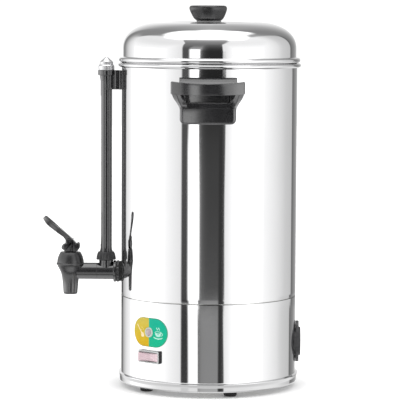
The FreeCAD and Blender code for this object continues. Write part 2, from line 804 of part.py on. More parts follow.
def make_gauge_nut():
    return turned((8.2, GAUGE_NUT_BOTTOM), [
        (12.2, GAUGE_NUT_BOTTOM),
        (12.4, GAUGE_NUT_BOTTOM + 1.2),
        ((11.8, GAUGE_NUT_BOTTOM + 6.2), (10.2, GAUGE_NUT_TOP)),
        (GLASS_RADIUS + 0.3, GAUGE_NUT_TOP),
        (GLASS_RADIUS + 0.3, GAUGE_NUT_TOP - 2.4),
        (8.2, GAUGE_NUT_TOP - 2.4),
    ], Vector(0, GAUGE_Y, 0))


def make_gauge_seals():
    gauge = Vector(0, GAUGE_Y, 0)
    lower = tube(8.1, GLASS_RADIUS, GLAND_HEIGHT, GAUGE_NUT_TOP - 2.4, gauge)
    upper = tube(8.1, GLASS_RADIUS, BRACKET_TOP + 0.2, BRACKET_TOP + 3.0, gauge)
    return Part.makeCompound([lower, upper])


def make_sight_glass():
    wall = 1.3
    gauge = Vector(0, GAUGE_Y, 0)
    return tube(GLASS_RADIUS, GLASS_RADIUS - wall, SHANK_HEIGHT + 5.0, BRACKET_TOP + 3.6, gauge)


def make_gauge_guard():
    """A tube with a long window towards the user and a wider foot and head."""
    bore = GLASS_RADIUS + 0.6
    low = GAUGE_NUT_TOP
    guard = turned((bore, low), [
        (8.2, low),
        ((7.6, low + 2.0), (GUARD_RADIUS, low + 5.0)),
        (GUARD_RADIUS, BRACKET_TOP),
        (bore, BRACKET_TOP),
    ], Vector(0, GAUGE_Y, 0))
    half = 3.0
    window = slab((-half, low + 12.0), [
        (-half, BRACKET_BOTTOM - 10.0),
        ((0.0, BRACKET_BOTTOM - 10.0 + half), (half, BRACKET_BOTTOM - 10.0)),
        (half, low + 12.0),
        ((0.0, low + 12.0 - half), (-half, low + 12.0)),
    ], "XZ", GAUGE_Y - 12.0, GAUGE_Y)
    return guard.cut(window)


def make_gauge_bracket():
    gauge = Vector(0, GAUGE_Y, 0)
    collar = tube(9.3, GUARD_RADIUS, BRACKET_BOTTOM, BRACKET_TOP, gauge)
    front_cut = block((30.0, 14.0, 60.0), Vector(0, GAUGE_Y - 9.4, BRACKET_BOTTOM + 6.0 - 17.0))
    collar = collar.cut(front_cut)
    head = turned((GUARD_RADIUS, BRACKET_TOP - 7.4), [
        (8.0, BRACKET_TOP - 7.4),
        (10.4, BRACKET_TOP - 4.6),
        (10.4, BRACKET_TOP),
        (GUARD_RADIUS, BRACKET_TOP),
    ], gauge)
    height = BRACKET_TOP - BRACKET_BOTTOM
    middle = (BRACKET_TOP + BRACKET_BOTTOM) / 2
    web = block((7.0, 12.0, height), Vector(0, -116.0, middle))
    web = web.cut(Part.makeCylinder(GUARD_RADIUS + 1.0, 60.0, gauge + UP * 360))
    rib = tube(5.2, 0, BRACKET_BOTTOM, BRACKET_TOP, Vector(0, -116.6, 0))
    pad = block((20.0, 12.0, height), Vector(0, -109.0, middle))
    pad = pad.common(ring_zone(BODY_RADIUS + 3.0, BODY_RADIUS))
    whole = fused([collar, head, web, rib, pad]).cut(inside(BODY_RADIUS))
    start = Vector(0, -104, BRACKET_SCREW_HEIGHT)
    return whole.cut(rod(1.75, start, Vector(0, -119.0, BRACKET_SCREW_HEIGHT)))


def make_bracket_screw():
    face = -(BODY_RADIUS - SHEET) + 0.1
    head = rod(3.8, Vector(0, face, BRACKET_SCREW_HEIGHT), Vector(0, face + 2.4, BRACKET_SCREW_HEIGHT))
    shank = rod(1.75, Vector(0, face, BRACKET_SCREW_HEIGHT), Vector(0, -118.6, BRACKET_SCREW_HEIGHT))
    return fused([head, shank])


def make_gauge_cap():
    low = BRACKET_TOP
    return turned((8.2, low), [
        (9.4, low),
        (9.6, low + 0.6),
        (9.6, low + 8.6),
        ((9.3, low + 9.6), (8.4, low + 10.2)),
        (7.8, low + 10.4),
        ((4.4, low + 12.9), (0.9, low + 15.6)),
        (0, low + 15.8),
        (0, low + 6.0),
        (6.6, low + 6.0),
        (8.2, low + 4.4),
    ], Vector(0, GAUGE_Y, 0))


# The control side: the indicator plate, its pilot lamp and the rocker switch

def make_control_plate():
    width, height = PLATE_SIZE
    end = height / 2
    flat = (width - height) / 2
    face = slab((-flat, PLATE_HEIGHT - end), [
        ((-flat - end, PLATE_HEIGHT), (-flat, PLATE_HEIGHT + end)),
        (flat, PLATE_HEIGHT + end),
        ((flat + end, PLATE_HEIGHT), (flat, PLATE_HEIGHT - end)),
    ], "YZ", 90.0, 130.0)
    plate = face.common(ring_zone(BODY_RADIUS + 0.5, BODY_RADIUS))
    hole = rod(LAMP_BODY + 0.1, Vector(95, 0, PLATE_HEIGHT), Vector(120, 0, PLATE_HEIGHT))
    return spun(plate.cut(hole), PANEL_AZIMUTH)


def lamp_axis(distance):
    return Vector(distance, 0, PLATE_HEIGHT)


def make_pilot_lamp_bezel():
    front = BODY_RADIUS + 0.5
    flange = rod(LAMP_BEZEL, lamp_axis(front), lamp_axis(front + 1.1))
    barrel = rod(LAMP_BODY, lamp_axis(88.0), lamp_axis(front))
    well = rod(LAMP_RADIUS - 0.5, lamp_axis(front - 3.0), lamp_axis(front + 2.0))
    return spun(fused([flange, barrel]).cut(well), PANEL_AZIMUTH)


def make_pilot_lamp_lens():
    front = BODY_RADIUS + 0.5
    dome = outline((0, front - 2.8), [
        (LAMP_RADIUS - 0.55, front - 2.8),
        (LAMP_RADIUS - 0.55, front + 1.2),
        ((2.6, front + 1.9), (0.8, front + 2.3)),
        (0, front + 2.3),
    ]).revolve(Vector(0, 0, 0), UP, 360)
    dome.Placement = Placement(Vector(0, 0, PLATE_HEIGHT), Rotation(UP, OUT))
    return spun(dome, PANEL_AZIMUTH)


def make_switch_housing():
    width, height = SWITCH_SIZE
    front = SWITCH_FRONT
    frame = soft_block((10.0, width, height), Vector(front - 5.0, 0, SWITCH_HEIGHT), 1.6, OUT)
    frame = frame.cut(inside(BODY_RADIUS))
    body = block((26.0, *SWITCH_BODY), Vector(98.0, 0, SWITCH_HEIGHT))
    opening = [size - 1.6 for size in SWITCH_BODY]
    cavity = block((30.0, *opening), Vector(front - 1.0, 0, SWITCH_HEIGHT))
    tabs = []
    for place in (-9.0, 0.0, 9.0):
        tabs.append(block((8.0, 0.8, 4.8), Vector(SWITCH_TABS + 4.0, place, SWITCH_HEIGHT)))
    pivot_half = SWITCH_BODY[1] / 2
    pivot = rod(ROCKER_PIVOT + 0.05, rocker_axis(-pivot_half + 0.2), rocker_axis(pivot_half - 0.2))
    return spun(fused([frame, body] + tabs).cut([cavity, pivot]), PANEL_AZIMUTH)


def rocker_axis(rise):
    return Vector(ROCKER_AXIS, 0, SWITCH_HEIGHT + rise)


def make_switch_rocker():
    """The rocker with one end pressed in, turned so from its level place."""
    half = SWITCH_BODY[0] / 2 - 2.6
    half_height = SWITCH_BODY[1] / 2 - 1.2
    tilt = math.tan(math.radians(ROCKER_TILT))
    face = ROCKER_FACE
    rocker = slab((ROCKER_AXIS - 2.0, -half + 3.0), [
        (face + half * tilt - 6.4, -half),
        (face + half * tilt, -half),
        ((face + 0.2 * half * tilt, -half * 0.45), (face - 0.4, 0.0)),
        ((face + 0.2 * half * tilt, half * 0.45), (face + half * tilt, half)),
        (face + half * tilt - 6.4, half),
        (ROCKER_AXIS - 2.0, half - 3.0),
    ], "XY", SWITCH_HEIGHT - half_height, SWITCH_HEIGHT + half_height)
    pin_half = SWITCH_BODY[1] / 2 - 0.3
    whole = fused([rocker, rod(ROCKER_PIVOT, rocker_axis(-pin_half), rocker_axis(pin_half))])
    whole.rotate(rocker_axis(0), UP, ROCKER_TILT)
    return spun(whole, PANEL_AZIMUTH)


# The power inlet at the rear

def make_power_inlet():
    width, height = INLET_SIZE
    back = BODY_RADIUS + 0.4
    flange_front = back + 3.9
    front = back + 6.1
    rear = 96.0
    middle = Vector(0, 0, INLET_HEIGHT)
    flange_size = (width, flange_front - back, height)
    flange = soft_block(flange_size, middle + SIDE * (back + flange_front) / 2, 8.0, SIDE)
    raised = soft_block((width, front - back, 31.6), middle + SIDE * (back + front) / 2, 2.4, SIDE)
    body = block((INLET_BODY[0], back - rear, INLET_BODY[1]), middle + SIDE * (back + rear) / 2)
    socket = slab((-8.2, INLET_HEIGHT - 12.2), [
        (-8.2, INLET_HEIGHT + 12.2),
        (4.2, INLET_HEIGHT + 12.2),
        (8.2, INLET_HEIGHT + 8.2),
        (8.2, INLET_HEIGHT - 8.2),
        (4.2, INLET_HEIGHT - 12.2),
    ], "XZ", SOCKET_FLOOR, front + 1.0)
    holes = [socket]
    for side in (-1, 1):
        at = middle + UP * side * INLET_SCREW_SPREAD
        holes.append(rod(1.8, at + SIDE * 100, at + SIDE * 120))
        holes.append(Part.makeCone(1.8, 3.6, 1.8, at + SIDE * (flange_front - 1.8), SIDE))
    for across, up in INLET_PIN_PLACES:
        holes.append(block(INLET_PIN_SIZE, middle + Vector(across, 101.0, up)))
    return fused([flange, raised, body]).cut(holes)


def make_inlet_pins():
    pins = []
    for across, up in INLET_PIN_PLACES:
        pins.append(block(INLET_PIN_SIZE, Vector(across, 101.0, INLET_HEIGHT + up)))
    return Part.makeCompound(pins)


def make_inlet_screws():
    screws = []
    front = BODY_RADIUS + 4.3
    for side in (-1, 1):
        at = Vector(0, 0, INLET_HEIGHT + side * INLET_SCREW_SPREAD)
        head = Part.makeCone(1.75, 3.5, 1.75, at + SIDE * (front - 1.75), SIDE)
        shank = rod(1.75, at + SIDE * 103.0, at + SIDE * (front - 1.7))
        slot = block((6.0, 1.2, 0.9), at + SIDE * front)
        screws.append(fused([head, shank]).cut(slot))
    return Part.makeCompound(screws)


def make_inlet_nuts():
    nuts = []
    for side in (-1, 1):
        at = Vector(0, 0, INLET_HEIGHT + side * INLET_SCREW_SPREAD)
        face = BODY_RADIUS - SHEET - 0.1
        nut = hexagon(5.5, at + SIDE * (face - 2.6), at + SIDE * face)
        nuts.append(nut.cut(rod(1.75, at + SIDE * 100, at + SIDE * 112)))
    return Part.makeCompound(nuts)


# The heaters and what controls them, under the tank's floor

def make_main_heater():
    blade_length = 12.0
    disc = tube(22.5, 0, WELL_BOTTOM - HEATER_THICKNESS, WELL_BOTTOM)
    blades = []
    for side in (-1, 1):
        centre = Vector(0, side * 16.0, BLADE_FOOT + blade_length / 2)
        blades.append(block((6.3, 0.8, blade_length), centre))
    return fused([disc] + blades)


def make_warming_heater():
    """A sheathed element bent to a ring, with both ends turned down."""
    ring = 52.0
    radius = 3.6
    height = FLOOR_HEIGHT - 1.0 - radius
    gap = math.radians(14)
    ends = [Vector(ring * math.cos(turn), ring * math.sin(turn), height) for turn in (gap, -gap)]
    loop = Part.Arc(ends[0], Vector(-ring, 0, height), ends[1]).toShape()
    circle = Part.Wire(Part.makeCircle(radius, ends[0], Vector(-ends[0].y, ends[0].x, 0)))
    body = Part.Wire([loop]).makePipeShell([circle], True, False)
    legs = [rod(radius, end - UP * 14.0, end) for end in ends]
    balls = [Part.makeSphere(radius, end) for end in ends]
    tips = [rod(1.4, end - UP * 20.0, end - UP * 14.0) for end in ends]
    return fused([body] + legs + balls + tips)


def stud_places():
    return [OUT * side * STUD_SPREAD for side in (-1, 1)]


def make_heater_clamp():
    top = WELL_BOTTOM - HEATER_THICKNESS
    strap = block((2 * STUD_SPREAD + 12.0, 14.0, 2.0), UP * (top - 1.0))
    holes = [rod(2.2, at + UP * 90, at + UP * 120) for at in stud_places()]
    return strap.cut(holes)


def make_clamp_studs():
    top = FLOOR_HEIGHT - 1.0
    studs = [rod(2.0, at + UP * 96, at + UP * top) for at in stud_places()]
    return Part.makeCompound(studs)


def make_clamp_nuts():
    nuts = []
    top = WELL_BOTTOM - HEATER_THICKNESS - 2.0
    for at in stud_places():
        nut = hexagon(7.0, at + UP * (top - 3.2), at + UP * top)
        nuts.append(nut.cut(rod(2.0, at + UP * 90, at + UP * 120)))
    return Part.makeCompound(nuts)


def make_disc_thermostat(azimuth, distance, body_radius):
    """A bimetal disc thermostat pressed to the floor, with two blades."""
    top = FLOOR_HEIGHT - 1.0
    centre = Vector(distance, 0, 0)
    cap = tube(body_radius, 0, top - 3.0, top, centre)
    body = tube(body_radius - 0.8, 0, top - 10.0, top - 3.0, centre)
    blades = [block((0.8, 4.8, 7.0), centre + Vector(side * 4.0, 0, top - 13.4)) for side in (-1, 1)]
    return spun(fused([cap, body] + blades), azimuth)


def make_terminal_block():
    """A block with four screws reached from above and a wire way under each."""
    centre = Vector(*TERMINAL_CENTRE)
    body = soft_block(TERMINAL_SIZE, centre, 1.5, UP)
    cuts = []
    for place in TERMINAL_PLACES:
        way = centre + SIDE * place
        cuts.append(rod(2.6, way + UP * 1.0, way + UP * 8.0))
        cuts.append(rod(1.9, way - OUT * 12.0, way + OUT * 12.0))
    return body.cut(cuts)


def inlet_wires(near_tab, near_tab_inward):
    """From the inlet's pins: live to the switch, neutral to the block, earth to the tank's floor."""
    starts = [Vector(across, 88.6, INLET_HEIGHT + up) for across, up in INLET_PIN_PLACES]
    leads = [[start, start - SIDE * 9.0] for start in starts]
    way = Vector(*TERMINAL_CENTRE) + SIDE * TERMINAL_PLACES[3]
    live = [Vector(46, 44, 70), Vector(66, 6, 62), near_tab_inward, near_tab]
    neutral = [Vector(-60, 46, 26), Vector(-70, 24, 16), way - OUT * 20, way - OUT * 6]
    earth = [Vector(-36, 62, 84), Vector(-36, 62, FLOOR_HEIGHT - 1.0)]
    return [lead + rest for lead, rest in zip(leads, (live, neutral, earth))]


def heater_wire(place, side):
    """From a way of the block up to one blade of the main heater."""
    way = Vector(*TERMINAL_CENTRE) + SIDE * place
    blade = Vector(0, side * 16.0, BLADE_FOOT)
    corners = [Vector(-74, side * 10, 28), Vector(-64, side * 30, 58), Vector(-26, side * 38, 78)]
    return [way - OUT * 6, way - OUT * 20] + corners + [blade - UP * 13, blade]


def make_wiring():
    """Eight insulated wires between the inlet, the switch, the lamp, the block and the heater."""
    panel = math.radians(PANEL_AZIMUTH)
    radial = Vector(math.cos(panel), math.sin(panel), 0)
    along = Vector(-math.sin(panel), math.cos(panel), 0)
    switch_tab = radial * (SWITCH_TABS - 0.5) + UP * SWITCH_HEIGHT
    near_tab = switch_tab + along * 9
    far_tab = switch_tab - along * 9
    lamp_tail = radial * 87.6 + UP * PLATE_HEIGHT
    first_way = Vector(*TERMINAL_CENTRE) + SIDE * TERMINAL_PLACES[0]
    second_way = Vector(*TERMINAL_CENTRE) + SIDE * TERMINAL_PLACES[1]
    wires = inlet_wires(near_tab, near_tab - radial * 12)
    wires.append([
        far_tab,
        far_tab - radial * 14,
        Vector(0, -62, 30),
        Vector(-50, -50, 18),
        Vector(-72, -28, 16),
        first_way - OUT * 20,
        first_way - OUT * 6,
    ])
    wires.append([
        lamp_tail + along * 2,
        lamp_tail + along * 2 - radial * 14,
        switch_tab - radial * 12 + UP * 12,
        switch_tab - radial * 9,
        switch_tab,
    ])
    wires.append([
        lamp_tail - along * 2,
        lamp_tail - along * 2 - radial * 18,
        Vector(20, -40, 50),
        Vector(-12, -14, 19),
        second_way + OUT * 20,
        second_way + OUT * 6,
    ])
    wires.append(heater_wire(TERMINAL_PLACES[1], -1))
    wires.append(heater_wire(TERMINAL_PLACES[2], 1))
    return Part.makeCompound([route(points, 1.2) for points in wires])


# The brewing set: pump tube, coffee basket and spreader

def make_pump_tube():
    stop_top = BASKET_BOTTOM - 0.3
    tube_body = tube(PUMP_TUBE_RADIUS, PUMP_TUBE_RADIUS - 0.8, WELL_BOTTOM + 11.0, PUMP_TUBE_TOP)
    stop = turned((PUMP_TUBE_RADIUS - 0.4, stop_top - 4.0), [
        (PUMP_TUBE_RADIUS + 0.4, stop_top - 4.0),
        (9.5, stop_top - 1.0),
        (9.5, stop_top),
        (PUMP_TUBE_RADIUS - 0.4, stop_top),
    ])
    return fused([tube_body, stop])


def make_pump_foot():
    """The bell that stands in the well and sends steam bubbles up the tube."""
    low = WELL_BOTTOM + 1.3
    rise = low + 9.4
    return turned((PUMP_TUBE_RADIUS, rise + 6.0), [
        (PUMP_TUBE_RADIUS + 1.0, rise + 6.0),
        (PUMP_TUBE_RADIUS + 1.0, rise + 1.0),
        ((18.0, rise - 0.6), (21.4, low)),
        (20.4, low),
        ((17.2, rise - 1.6), (PUMP_TUBE_RADIUS, rise - 0.2)),
    ])


def make_coffee_basket():
    thick = 1.0
    sleeve = PUMP_TUBE_RADIUS + 0.6
    rim = BASKET_RADIUS + 2.0
    basket = turned((sleeve, BASKET_BOTTOM), [
        (BASKET_RADIUS - 3.0, BASKET_BOTTOM),
        ((BASKET_RADIUS - 0.9, BASKET_BOTTOM + 0.9), (BASKET_RADIUS, BASKET_BOTTOM + 3.0)),
        (BASKET_RADIUS, BASKET_TOP - thick),
        (rim, BASKET_TOP - thick),
        (rim, BASKET_TOP),
        (BASKET_RADIUS - thick, BASKET_TOP),
        (BASKET_RADIUS - thick, BASKET_BOTTOM + 3.0),
        ((BASKET_RADIUS - 1.6, BASKET_BOTTOM + 1.6), (BASKET_RADIUS - 3.0, BASKET_BOTTOM + thick)),
        (sleeve + thick, BASKET_BOTTOM + thick),
        (sleeve + thick, BASKET_TOP - 4.0),
        (sleeve, BASKET_TOP - 4.0),
    ])
    return basket.cut(drain_holes(BASKET_BOTTOM, (18.0, 32.0, 46.0, 60.0), 1.4))


def drain_holes(height, circles, radius):
    """Rings of small holes through a sheet at a height."""
    holes = []
    for circle in circles:
        count = int(circle * 0.5)
        hole = rod(radius, Vector(circle, 0, height - 3), Vector(circle, 0, height + 3))
        holes += around(hole, count)
    return holes


def make_basket_spreader():
    low = BASKET_TOP + 0.3
    spreader = turned((PUMP_TUBE_RADIUS + 0.6, low + 1.2), [
        (BASKET_RADIUS - 6.0, low + 1.2),
        (BASKET_RADIUS - 3.0, low),
        (BASKET_RADIUS + 2.0, low),
        (BASKET_RADIUS + 2.0, low + 0.9),
        (BASKET_RADIUS - 2.6, low + 0.9),
        (BASKET_RADIUS - 5.6, low + 2.1),
        (PUMP_TUBE_RADIUS + 0.6, low + 2.1),
    ])
    return spreader.cut(drain_holes(low + 1.0, (16.0, 30.0, 44.0, 58.0), 1.2))


def build_nodes():
    """Every sub-part by its name. The handles are one moulding, and the far one is turned half round."""
    handle = make_handle()
    return {
        "tank_shell": make_tank_shell(),
        "tank_floor": make_tank_floor(),
        "lid_shell": make_lid_shell(),
        "lid_knob": make_lid_knob(),
        "knob_collar": make_knob_collar(),
        "knob_screw": make_knob_screw(),
        "base_shell": make_base_shell(),
        "base_plate": make_base_plate(),
        "feet": Part.makeCompound(around(make_foot(), FOOT_COUNT)),
        "foot_screws": Part.makeCompound(around(make_foot_screw(), FOOT_COUNT)),
        "tie_rods": Part.makeCompound(around(make_tie_rod(), 3, TIE_START)),
        "tie_nuts": Part.makeCompound(around(make_tie_nut(), 3, TIE_START)),
        "handle_right": handle,
        "handle_left": spun(handle, 180),
        "handle_inserts": handle_hardware(make_insert),
        "handle_washers": handle_hardware(make_handle_washer),
        "handle_screws": handle_hardware(make_handle_screw),
        "tap_body": make_tap_body(),
        "tap_bonnet": make_tap_bonnet(),
        "tap_stem": make_tap_stem(),
        "seat_cup": make_seat_cup(),
        "tap_spring": make_tap_spring(),
        "tap_lever": make_tap_lever(),
        "lever_pin": make_lever_pin(),
        "gauge_shank": make_gauge_shank(),
        "shank_nut": make_shank_nut(),
        "shank_seals": make_shank_seals(),
        "shank_inner_nut": make_shank_inner_nut(),
        "gauge_nut": make_gauge_nut(),
        "gauge_seals": make_gauge_seals(),
        "sight_glass": make_sight_glass(),
        "gauge_guard": make_gauge_guard(),
        "gauge_bracket": make_gauge_bracket(),
        "bracket_screw": make_bracket_screw(),
        "gauge_cap": make_gauge_cap(),
        "control_plate": make_control_plate(),
        "pilot_lamp_bezel": make_pilot_lamp_bezel(),
        "pilot_lamp_lens": make_pilot_lamp_lens(),
        "switch_housing": make_switch_housing(),
        "switch_rocker": make_switch_rocker(),
        "power_inlet": make_power_inlet(),
        "inlet_pins": make_inlet_pins(),
        "inlet_screws": make_inlet_screws(),
        "inlet_nuts": make_inlet_nuts(),
        "main_heater": make_main_heater(),
        "warming_heater": make_warming_heater(),
        "heater_clamp": make_heater_clamp(),
        "clamp_studs": make_clamp_studs(),
        "clamp_nuts": make_clamp_nuts(),
        "brew_thermostat": make_disc_thermostat(215.0, 37.0, 8.4),
        "boil_dry_cutout": make_disc_thermostat(120.0, 37.0, 7.0),
        "terminal_block": make_terminal_block(),
        "wiring": make_wiring(),
        "pump_tube": make_pump_tube(),
        "pump_foot": make_pump_foot(),
        "coffee_basket": make_coffee_basket(),
        "basket_spreader": make_basket_spreader(),
    }


os.makedirs("parts", exist_ok=True)
for name, shape in build_nodes().items():
    part = solids_of(shape)
    part.exportStep("parts/" + name + ".step")
    box = part.BoundBox
    print(name, len(part.Solids), "valid" if part.isValid() else "INVALID", round(part.Volume),
          [round(value, 1) for value in (box.XMin, box.YMin, box.ZMin, box.XMax, box.YMax, box.ZMax)])
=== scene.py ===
"""The looks of a steel percolator coffee urn, put together from the base up.

Sizes are in millimetres and become metres where a mesh is made. The urn's axis is X = Y = 0, it stands
on Z = 0, the tap points to -Y, the carry handles to +X and -X, and the power inlet to +Y.
"""
import math

import bmesh
import bpy
import numpy as np
from mathutils import Matrix, Vector


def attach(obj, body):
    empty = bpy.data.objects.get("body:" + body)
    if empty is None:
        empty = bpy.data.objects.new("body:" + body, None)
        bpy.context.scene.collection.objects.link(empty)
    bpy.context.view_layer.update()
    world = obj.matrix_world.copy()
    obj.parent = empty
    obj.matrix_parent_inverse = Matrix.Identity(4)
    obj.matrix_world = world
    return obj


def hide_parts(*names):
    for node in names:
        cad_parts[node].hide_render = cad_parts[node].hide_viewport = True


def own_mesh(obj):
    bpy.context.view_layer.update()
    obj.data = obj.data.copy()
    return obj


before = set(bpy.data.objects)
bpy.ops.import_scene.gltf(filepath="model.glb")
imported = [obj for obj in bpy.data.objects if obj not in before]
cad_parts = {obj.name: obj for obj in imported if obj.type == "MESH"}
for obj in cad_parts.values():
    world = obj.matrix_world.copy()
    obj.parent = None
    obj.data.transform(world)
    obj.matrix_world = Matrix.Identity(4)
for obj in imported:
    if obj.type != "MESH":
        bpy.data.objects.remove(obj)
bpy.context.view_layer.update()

scene = bpy.context.scene
MM = 0.001


# Studio: a long lens a little above the lid, square to the right carry handle.
# The distance, height and tilt were fitted to the ellipses of the rims and the seam.
CAMERA_DISTANCE = 2968.0
CAMERA_ASIDE = -11.0
CAMERA_HEIGHT = 489.3
CAMERA_AZIMUTH = math.radians(0.94)
CAMERA_PITCH = math.radians(4.92)
CAMERA_ROLL = math.radians(0.29)
CAMERA_LENS = 213.12

toward = Vector((math.cos(CAMERA_AZIMUTH), math.sin(CAMERA_AZIMUTH), 0))
aside = Vector((-math.sin(CAMERA_AZIMUTH), math.cos(CAMERA_AZIMUTH), 0))
upward = Vector((0, 0, 1))
sight = -toward * math.cos(CAMERA_PITCH) - upward * math.sin(CAMERA_PITCH)
crown = -toward * math.sin(CAMERA_PITCH) + upward * math.cos(CAMERA_PITCH)
across = aside * math.cos(CAMERA_ROLL) + crown * math.sin(CAMERA_ROLL)
above = crown * math.cos(CAMERA_ROLL) - aside * math.sin(CAMERA_ROLL)

camera = bpy.data.objects.new("camera", bpy.data.cameras.new("camera"))
scene.collection.objects.link(camera)
camera.data.lens = CAMERA_LENS
camera.data.sensor_width = 36.0
turn = Matrix((across, above, -sight)).transposed().to_4x4()
place = toward * CAMERA_DISTANCE + aside * CAMERA_ASIDE + upward * CAMERA_HEIGHT
camera.matrix_world = Matrix.Translation(place * MM) @ turn
scene.camera = camera
scene.view_settings.view_transform = "Standard"


def node(kind, *inputs, tree=None, **settings):
    """Adds a shader node. Each input is a socket's name or number, and a value or another node's output.
    The new node joins the tree of such an output."""
    tree = tree or next(value.id_data for _, value in inputs if isinstance(value, bpy.types.NodeSocket))
    made = tree.nodes.new("ShaderNode" + kind)
    for name, value in settings.items():
        setattr(made, name, value)
    for socket, value in inputs:
        if isinstance(value, bpy.types.NodeSocket):
            tree.links.new(value, made.inputs[socket])
        else:
            made.inputs[socket].default_value = value
    return made


def math_node(operation, first, second=0.0, tree=None):
    """One sum on two values."""
    return node("Math", (0, first), (1, second), tree=tree, operation=operation).outputs[0]


def plus(first, second):
    """Two values added up."""
    return math_node("ADD", first, second)


def minus(first, second):
    """The second value taken from the first."""
    return math_node("SUBTRACT", first, second)


def times(first, second):
    """Two values multiplied."""
    return math_node("MULTIPLY", first, second)


def step_node(value, low, high, start=0.0, end=1.0):
    """A soft step from start, below low, to end, above high."""
    made = node("MapRange", ("Value", value), ("From Min", low), ("From Max", high), ("To Min", start),
                ("To Max", end), interpolation_type="SMOOTHSTEP")
    return made.outputs["Result"]


def ramp_node(value, stops):
    """A colour ramp; a stop is a place from 0 to 1 and a grey or a colour."""
    ramp = node("ValToRGB", ("Fac", value))
    elements = ramp.color_ramp.elements
    for place, colour in stops[2:]:
        elements.new(place)
    for element, (place, colour) in zip(elements, stops):
        element.position = place
        shade = (colour, colour, colour) if isinstance(colour, float) else colour
        element.color = (*shade, 1.0)
    return ramp.outputs["Color"]


def graph_node(value, stops):
    """A line graph through pairs of a value and its result."""
    places, results = np.array(stops, float).T
    low, high = results.min(), results.max()
    spread = np.stack([(places - places[0]) / np.ptp(places), (results - low) / (high - low)], axis=-1)
    share = node("MapRange", ("Value", value), ("From Min", places[0]), ("From Max", places[-1])).outputs[0]
    ramp = ramp_node(share, spread.tolist())
    return node("MapRange", ("Value", ramp), ("To Min", low), ("To Max", high)).outputs[0]


def mix_node(share, first, second):
    """Two colours mixed by a share."""
    return node("MixRGB", (0, share), (1, first), (2, second)).outputs[0]


def blend_node(share, first, second):
    """Two values mixed by a share."""
    return node("Mix", (0, share), (2, first), (3, second)).outputs[0]


# Light: a round white tent with its opening behind the camera, given by bearing and rise in degrees.
# A dark curtain hangs in the opening beside a dark upright, the back is an arch of shade, and the roof
# is the brightest part. The line graphs were fitted to what the steel mirrors.
TENT_STRENGTH = 2.2
FLOOR_GLOW = 1.12
ON_LID = (-1.7, -1.6)
ON_BASE = (-7.5, -7.42)
CORNER = 139.3
POLE_EDGES = (-165.0, -154.0)
STRIP_LIGHT = 0.022
GAP_EDGES = (-35.7, -11.0)
UPRIGHT_EDGE = -36.1
FLOOR_RISE = (-27.0, -21.0)
WALL_LIGHT = [
    (-180, 0.50), (-170, 0.42), (-152, 0.20), (-148, 0.28), (-144, 0.35), (-140, 0.42), (-136, 0.475),
    (-131, 0.53), (-125, 0.59), (-115, 1.0), (-80, 1.0), (-68, 0.74), (-57, 0.62), (-48, 0.56),
    (-37, 0.50), (-28, 0.90), (-12, 0.90), (20, 0.51), (25, 0.57), (31, 0.66), (40, 1.0), (62, 1.0),
    (77, 0.62), (92, 0.54), (108, 0.45), (120, 0.375), (137.5, 0.325), (180, 0.31),
]
WALL_LIMIT = [(0, 1.0), (5, 0.63), (10, 0.60), (15, 0.57), (20, 0.53), (30, 0.50), (45, 0.52), (60, 0.55)]
CORNER_LIGHT = [(139, 0.065), (142, 0.09), (147, 0.125), (155, 0.16), (165, 0.235), (180, 0.42)]
ARCH_BOTTOM = [
    (-180, 24), (-165, 26), (-150, 27), (-140, 27.5), (-130, 31), (-122, 41), (-112, 47), (-100, 51),
    (-88, 62), (80, 62), (88, 53), (100, 52), (112, 48), (124, 42), (132, 34), (150, 24), (180, 24),
]
ARCH_SOFT = [(0, 3), (100, 3), (125, 4), (140, 8), (160, 17), (180, 21)]
ARCH_LIGHT = [
    (-180, 0.25), (-165, 0.19), (-150, 0.15), (-130, 0.148), (-118, 0.17), (-108, 0.27), (-95, 0.35),
    (85, 0.35), (95, 0.24), (110, 0.22), (122, 0.155), (135, 0.14), (150, 0.15), (165, 0.21), (180, 0.25),
]
ROOF_EDGE = [
    (-180, 67), (-160, 69), (-150, 65), (-140, 63), (-130, 60.5), (-120, 58), (-110, 56), (-98, 55),
    (-85, 50), (-50, 49), (-25, 55.5), (22, 55.5), (34, 48), (60, 47), (80, 56), (90, 60.5), (105, 63),
    (118, 59), (130, 58), (140, 62), (155, 67), (180, 67),
]
CURTAIN_LEFT_LOW = [
    (-9.2, -13.6), (-8.4, -13.9), (-7.5, -14.3), (-7.42, -12.0), (-6, -12.2), (-4.9, -12.3), (-3.7, -13.2),
    (-1.9, -14.0),
]
CURTAIN_RIGHT_LOW = [
    (-9.2, 20.6), (-8.4, 19.8), (-7.5, 18.9), (-7.42, 20.7), (-6, 20.2), (-4.9, 20.0), (-3.7, 20.8),
    (-1.9, 21.3),
]
CURTAIN_LIGHT_LOW = [
    (-19, 0.25), (-14, 0.175), (-9.0, 0.152), (-8.4, 0.150), (-7.9, 0.160), (-7.5, 0.175), (-7.42, 0.046),
    (-6.9, 0.045), (-6.1, 0.041), (-5.6, 0.038), (-4.9, 0.0333), (-4.2, 0.0325), (-3.6, 0.0285),
    (-1.9, 0.0065),
]
FOLD_LOW = [
    (-9.2, -0.35), (-7.5, -0.35), (-7.42, 0.75), (-6, 0.85), (-4.9, 1.0), (-4.2, 0.8), (-3.6, 0.55),
    (-1.9, 0.12),
]
UPRIGHT_LOW = [
    (-9.2, -25.5), (-7.6, -26.3), (-7.2, -27.0), (-4.9, -27.1), (-3.7, -27.5), (-2.8, -25.9),
    (-1.9, -25.6),
]
CURTAIN_LEFT = [
    (-1.6, -12.4), (7.8, -12.4), (8.2, -35.7), (32, -35.7), (36, -37.4), (40, -40.0), (44, -42.5),
    (50, -45.5),
]
CURTAIN_RIGHT = [
    (-1.6, 17.4), (2, 17.0), (24, 17.0), (28, 18.8), (32, 22.3), (36, 25.0), (40, 27.5), (44, 29.8),
    (50, 32.0),
]
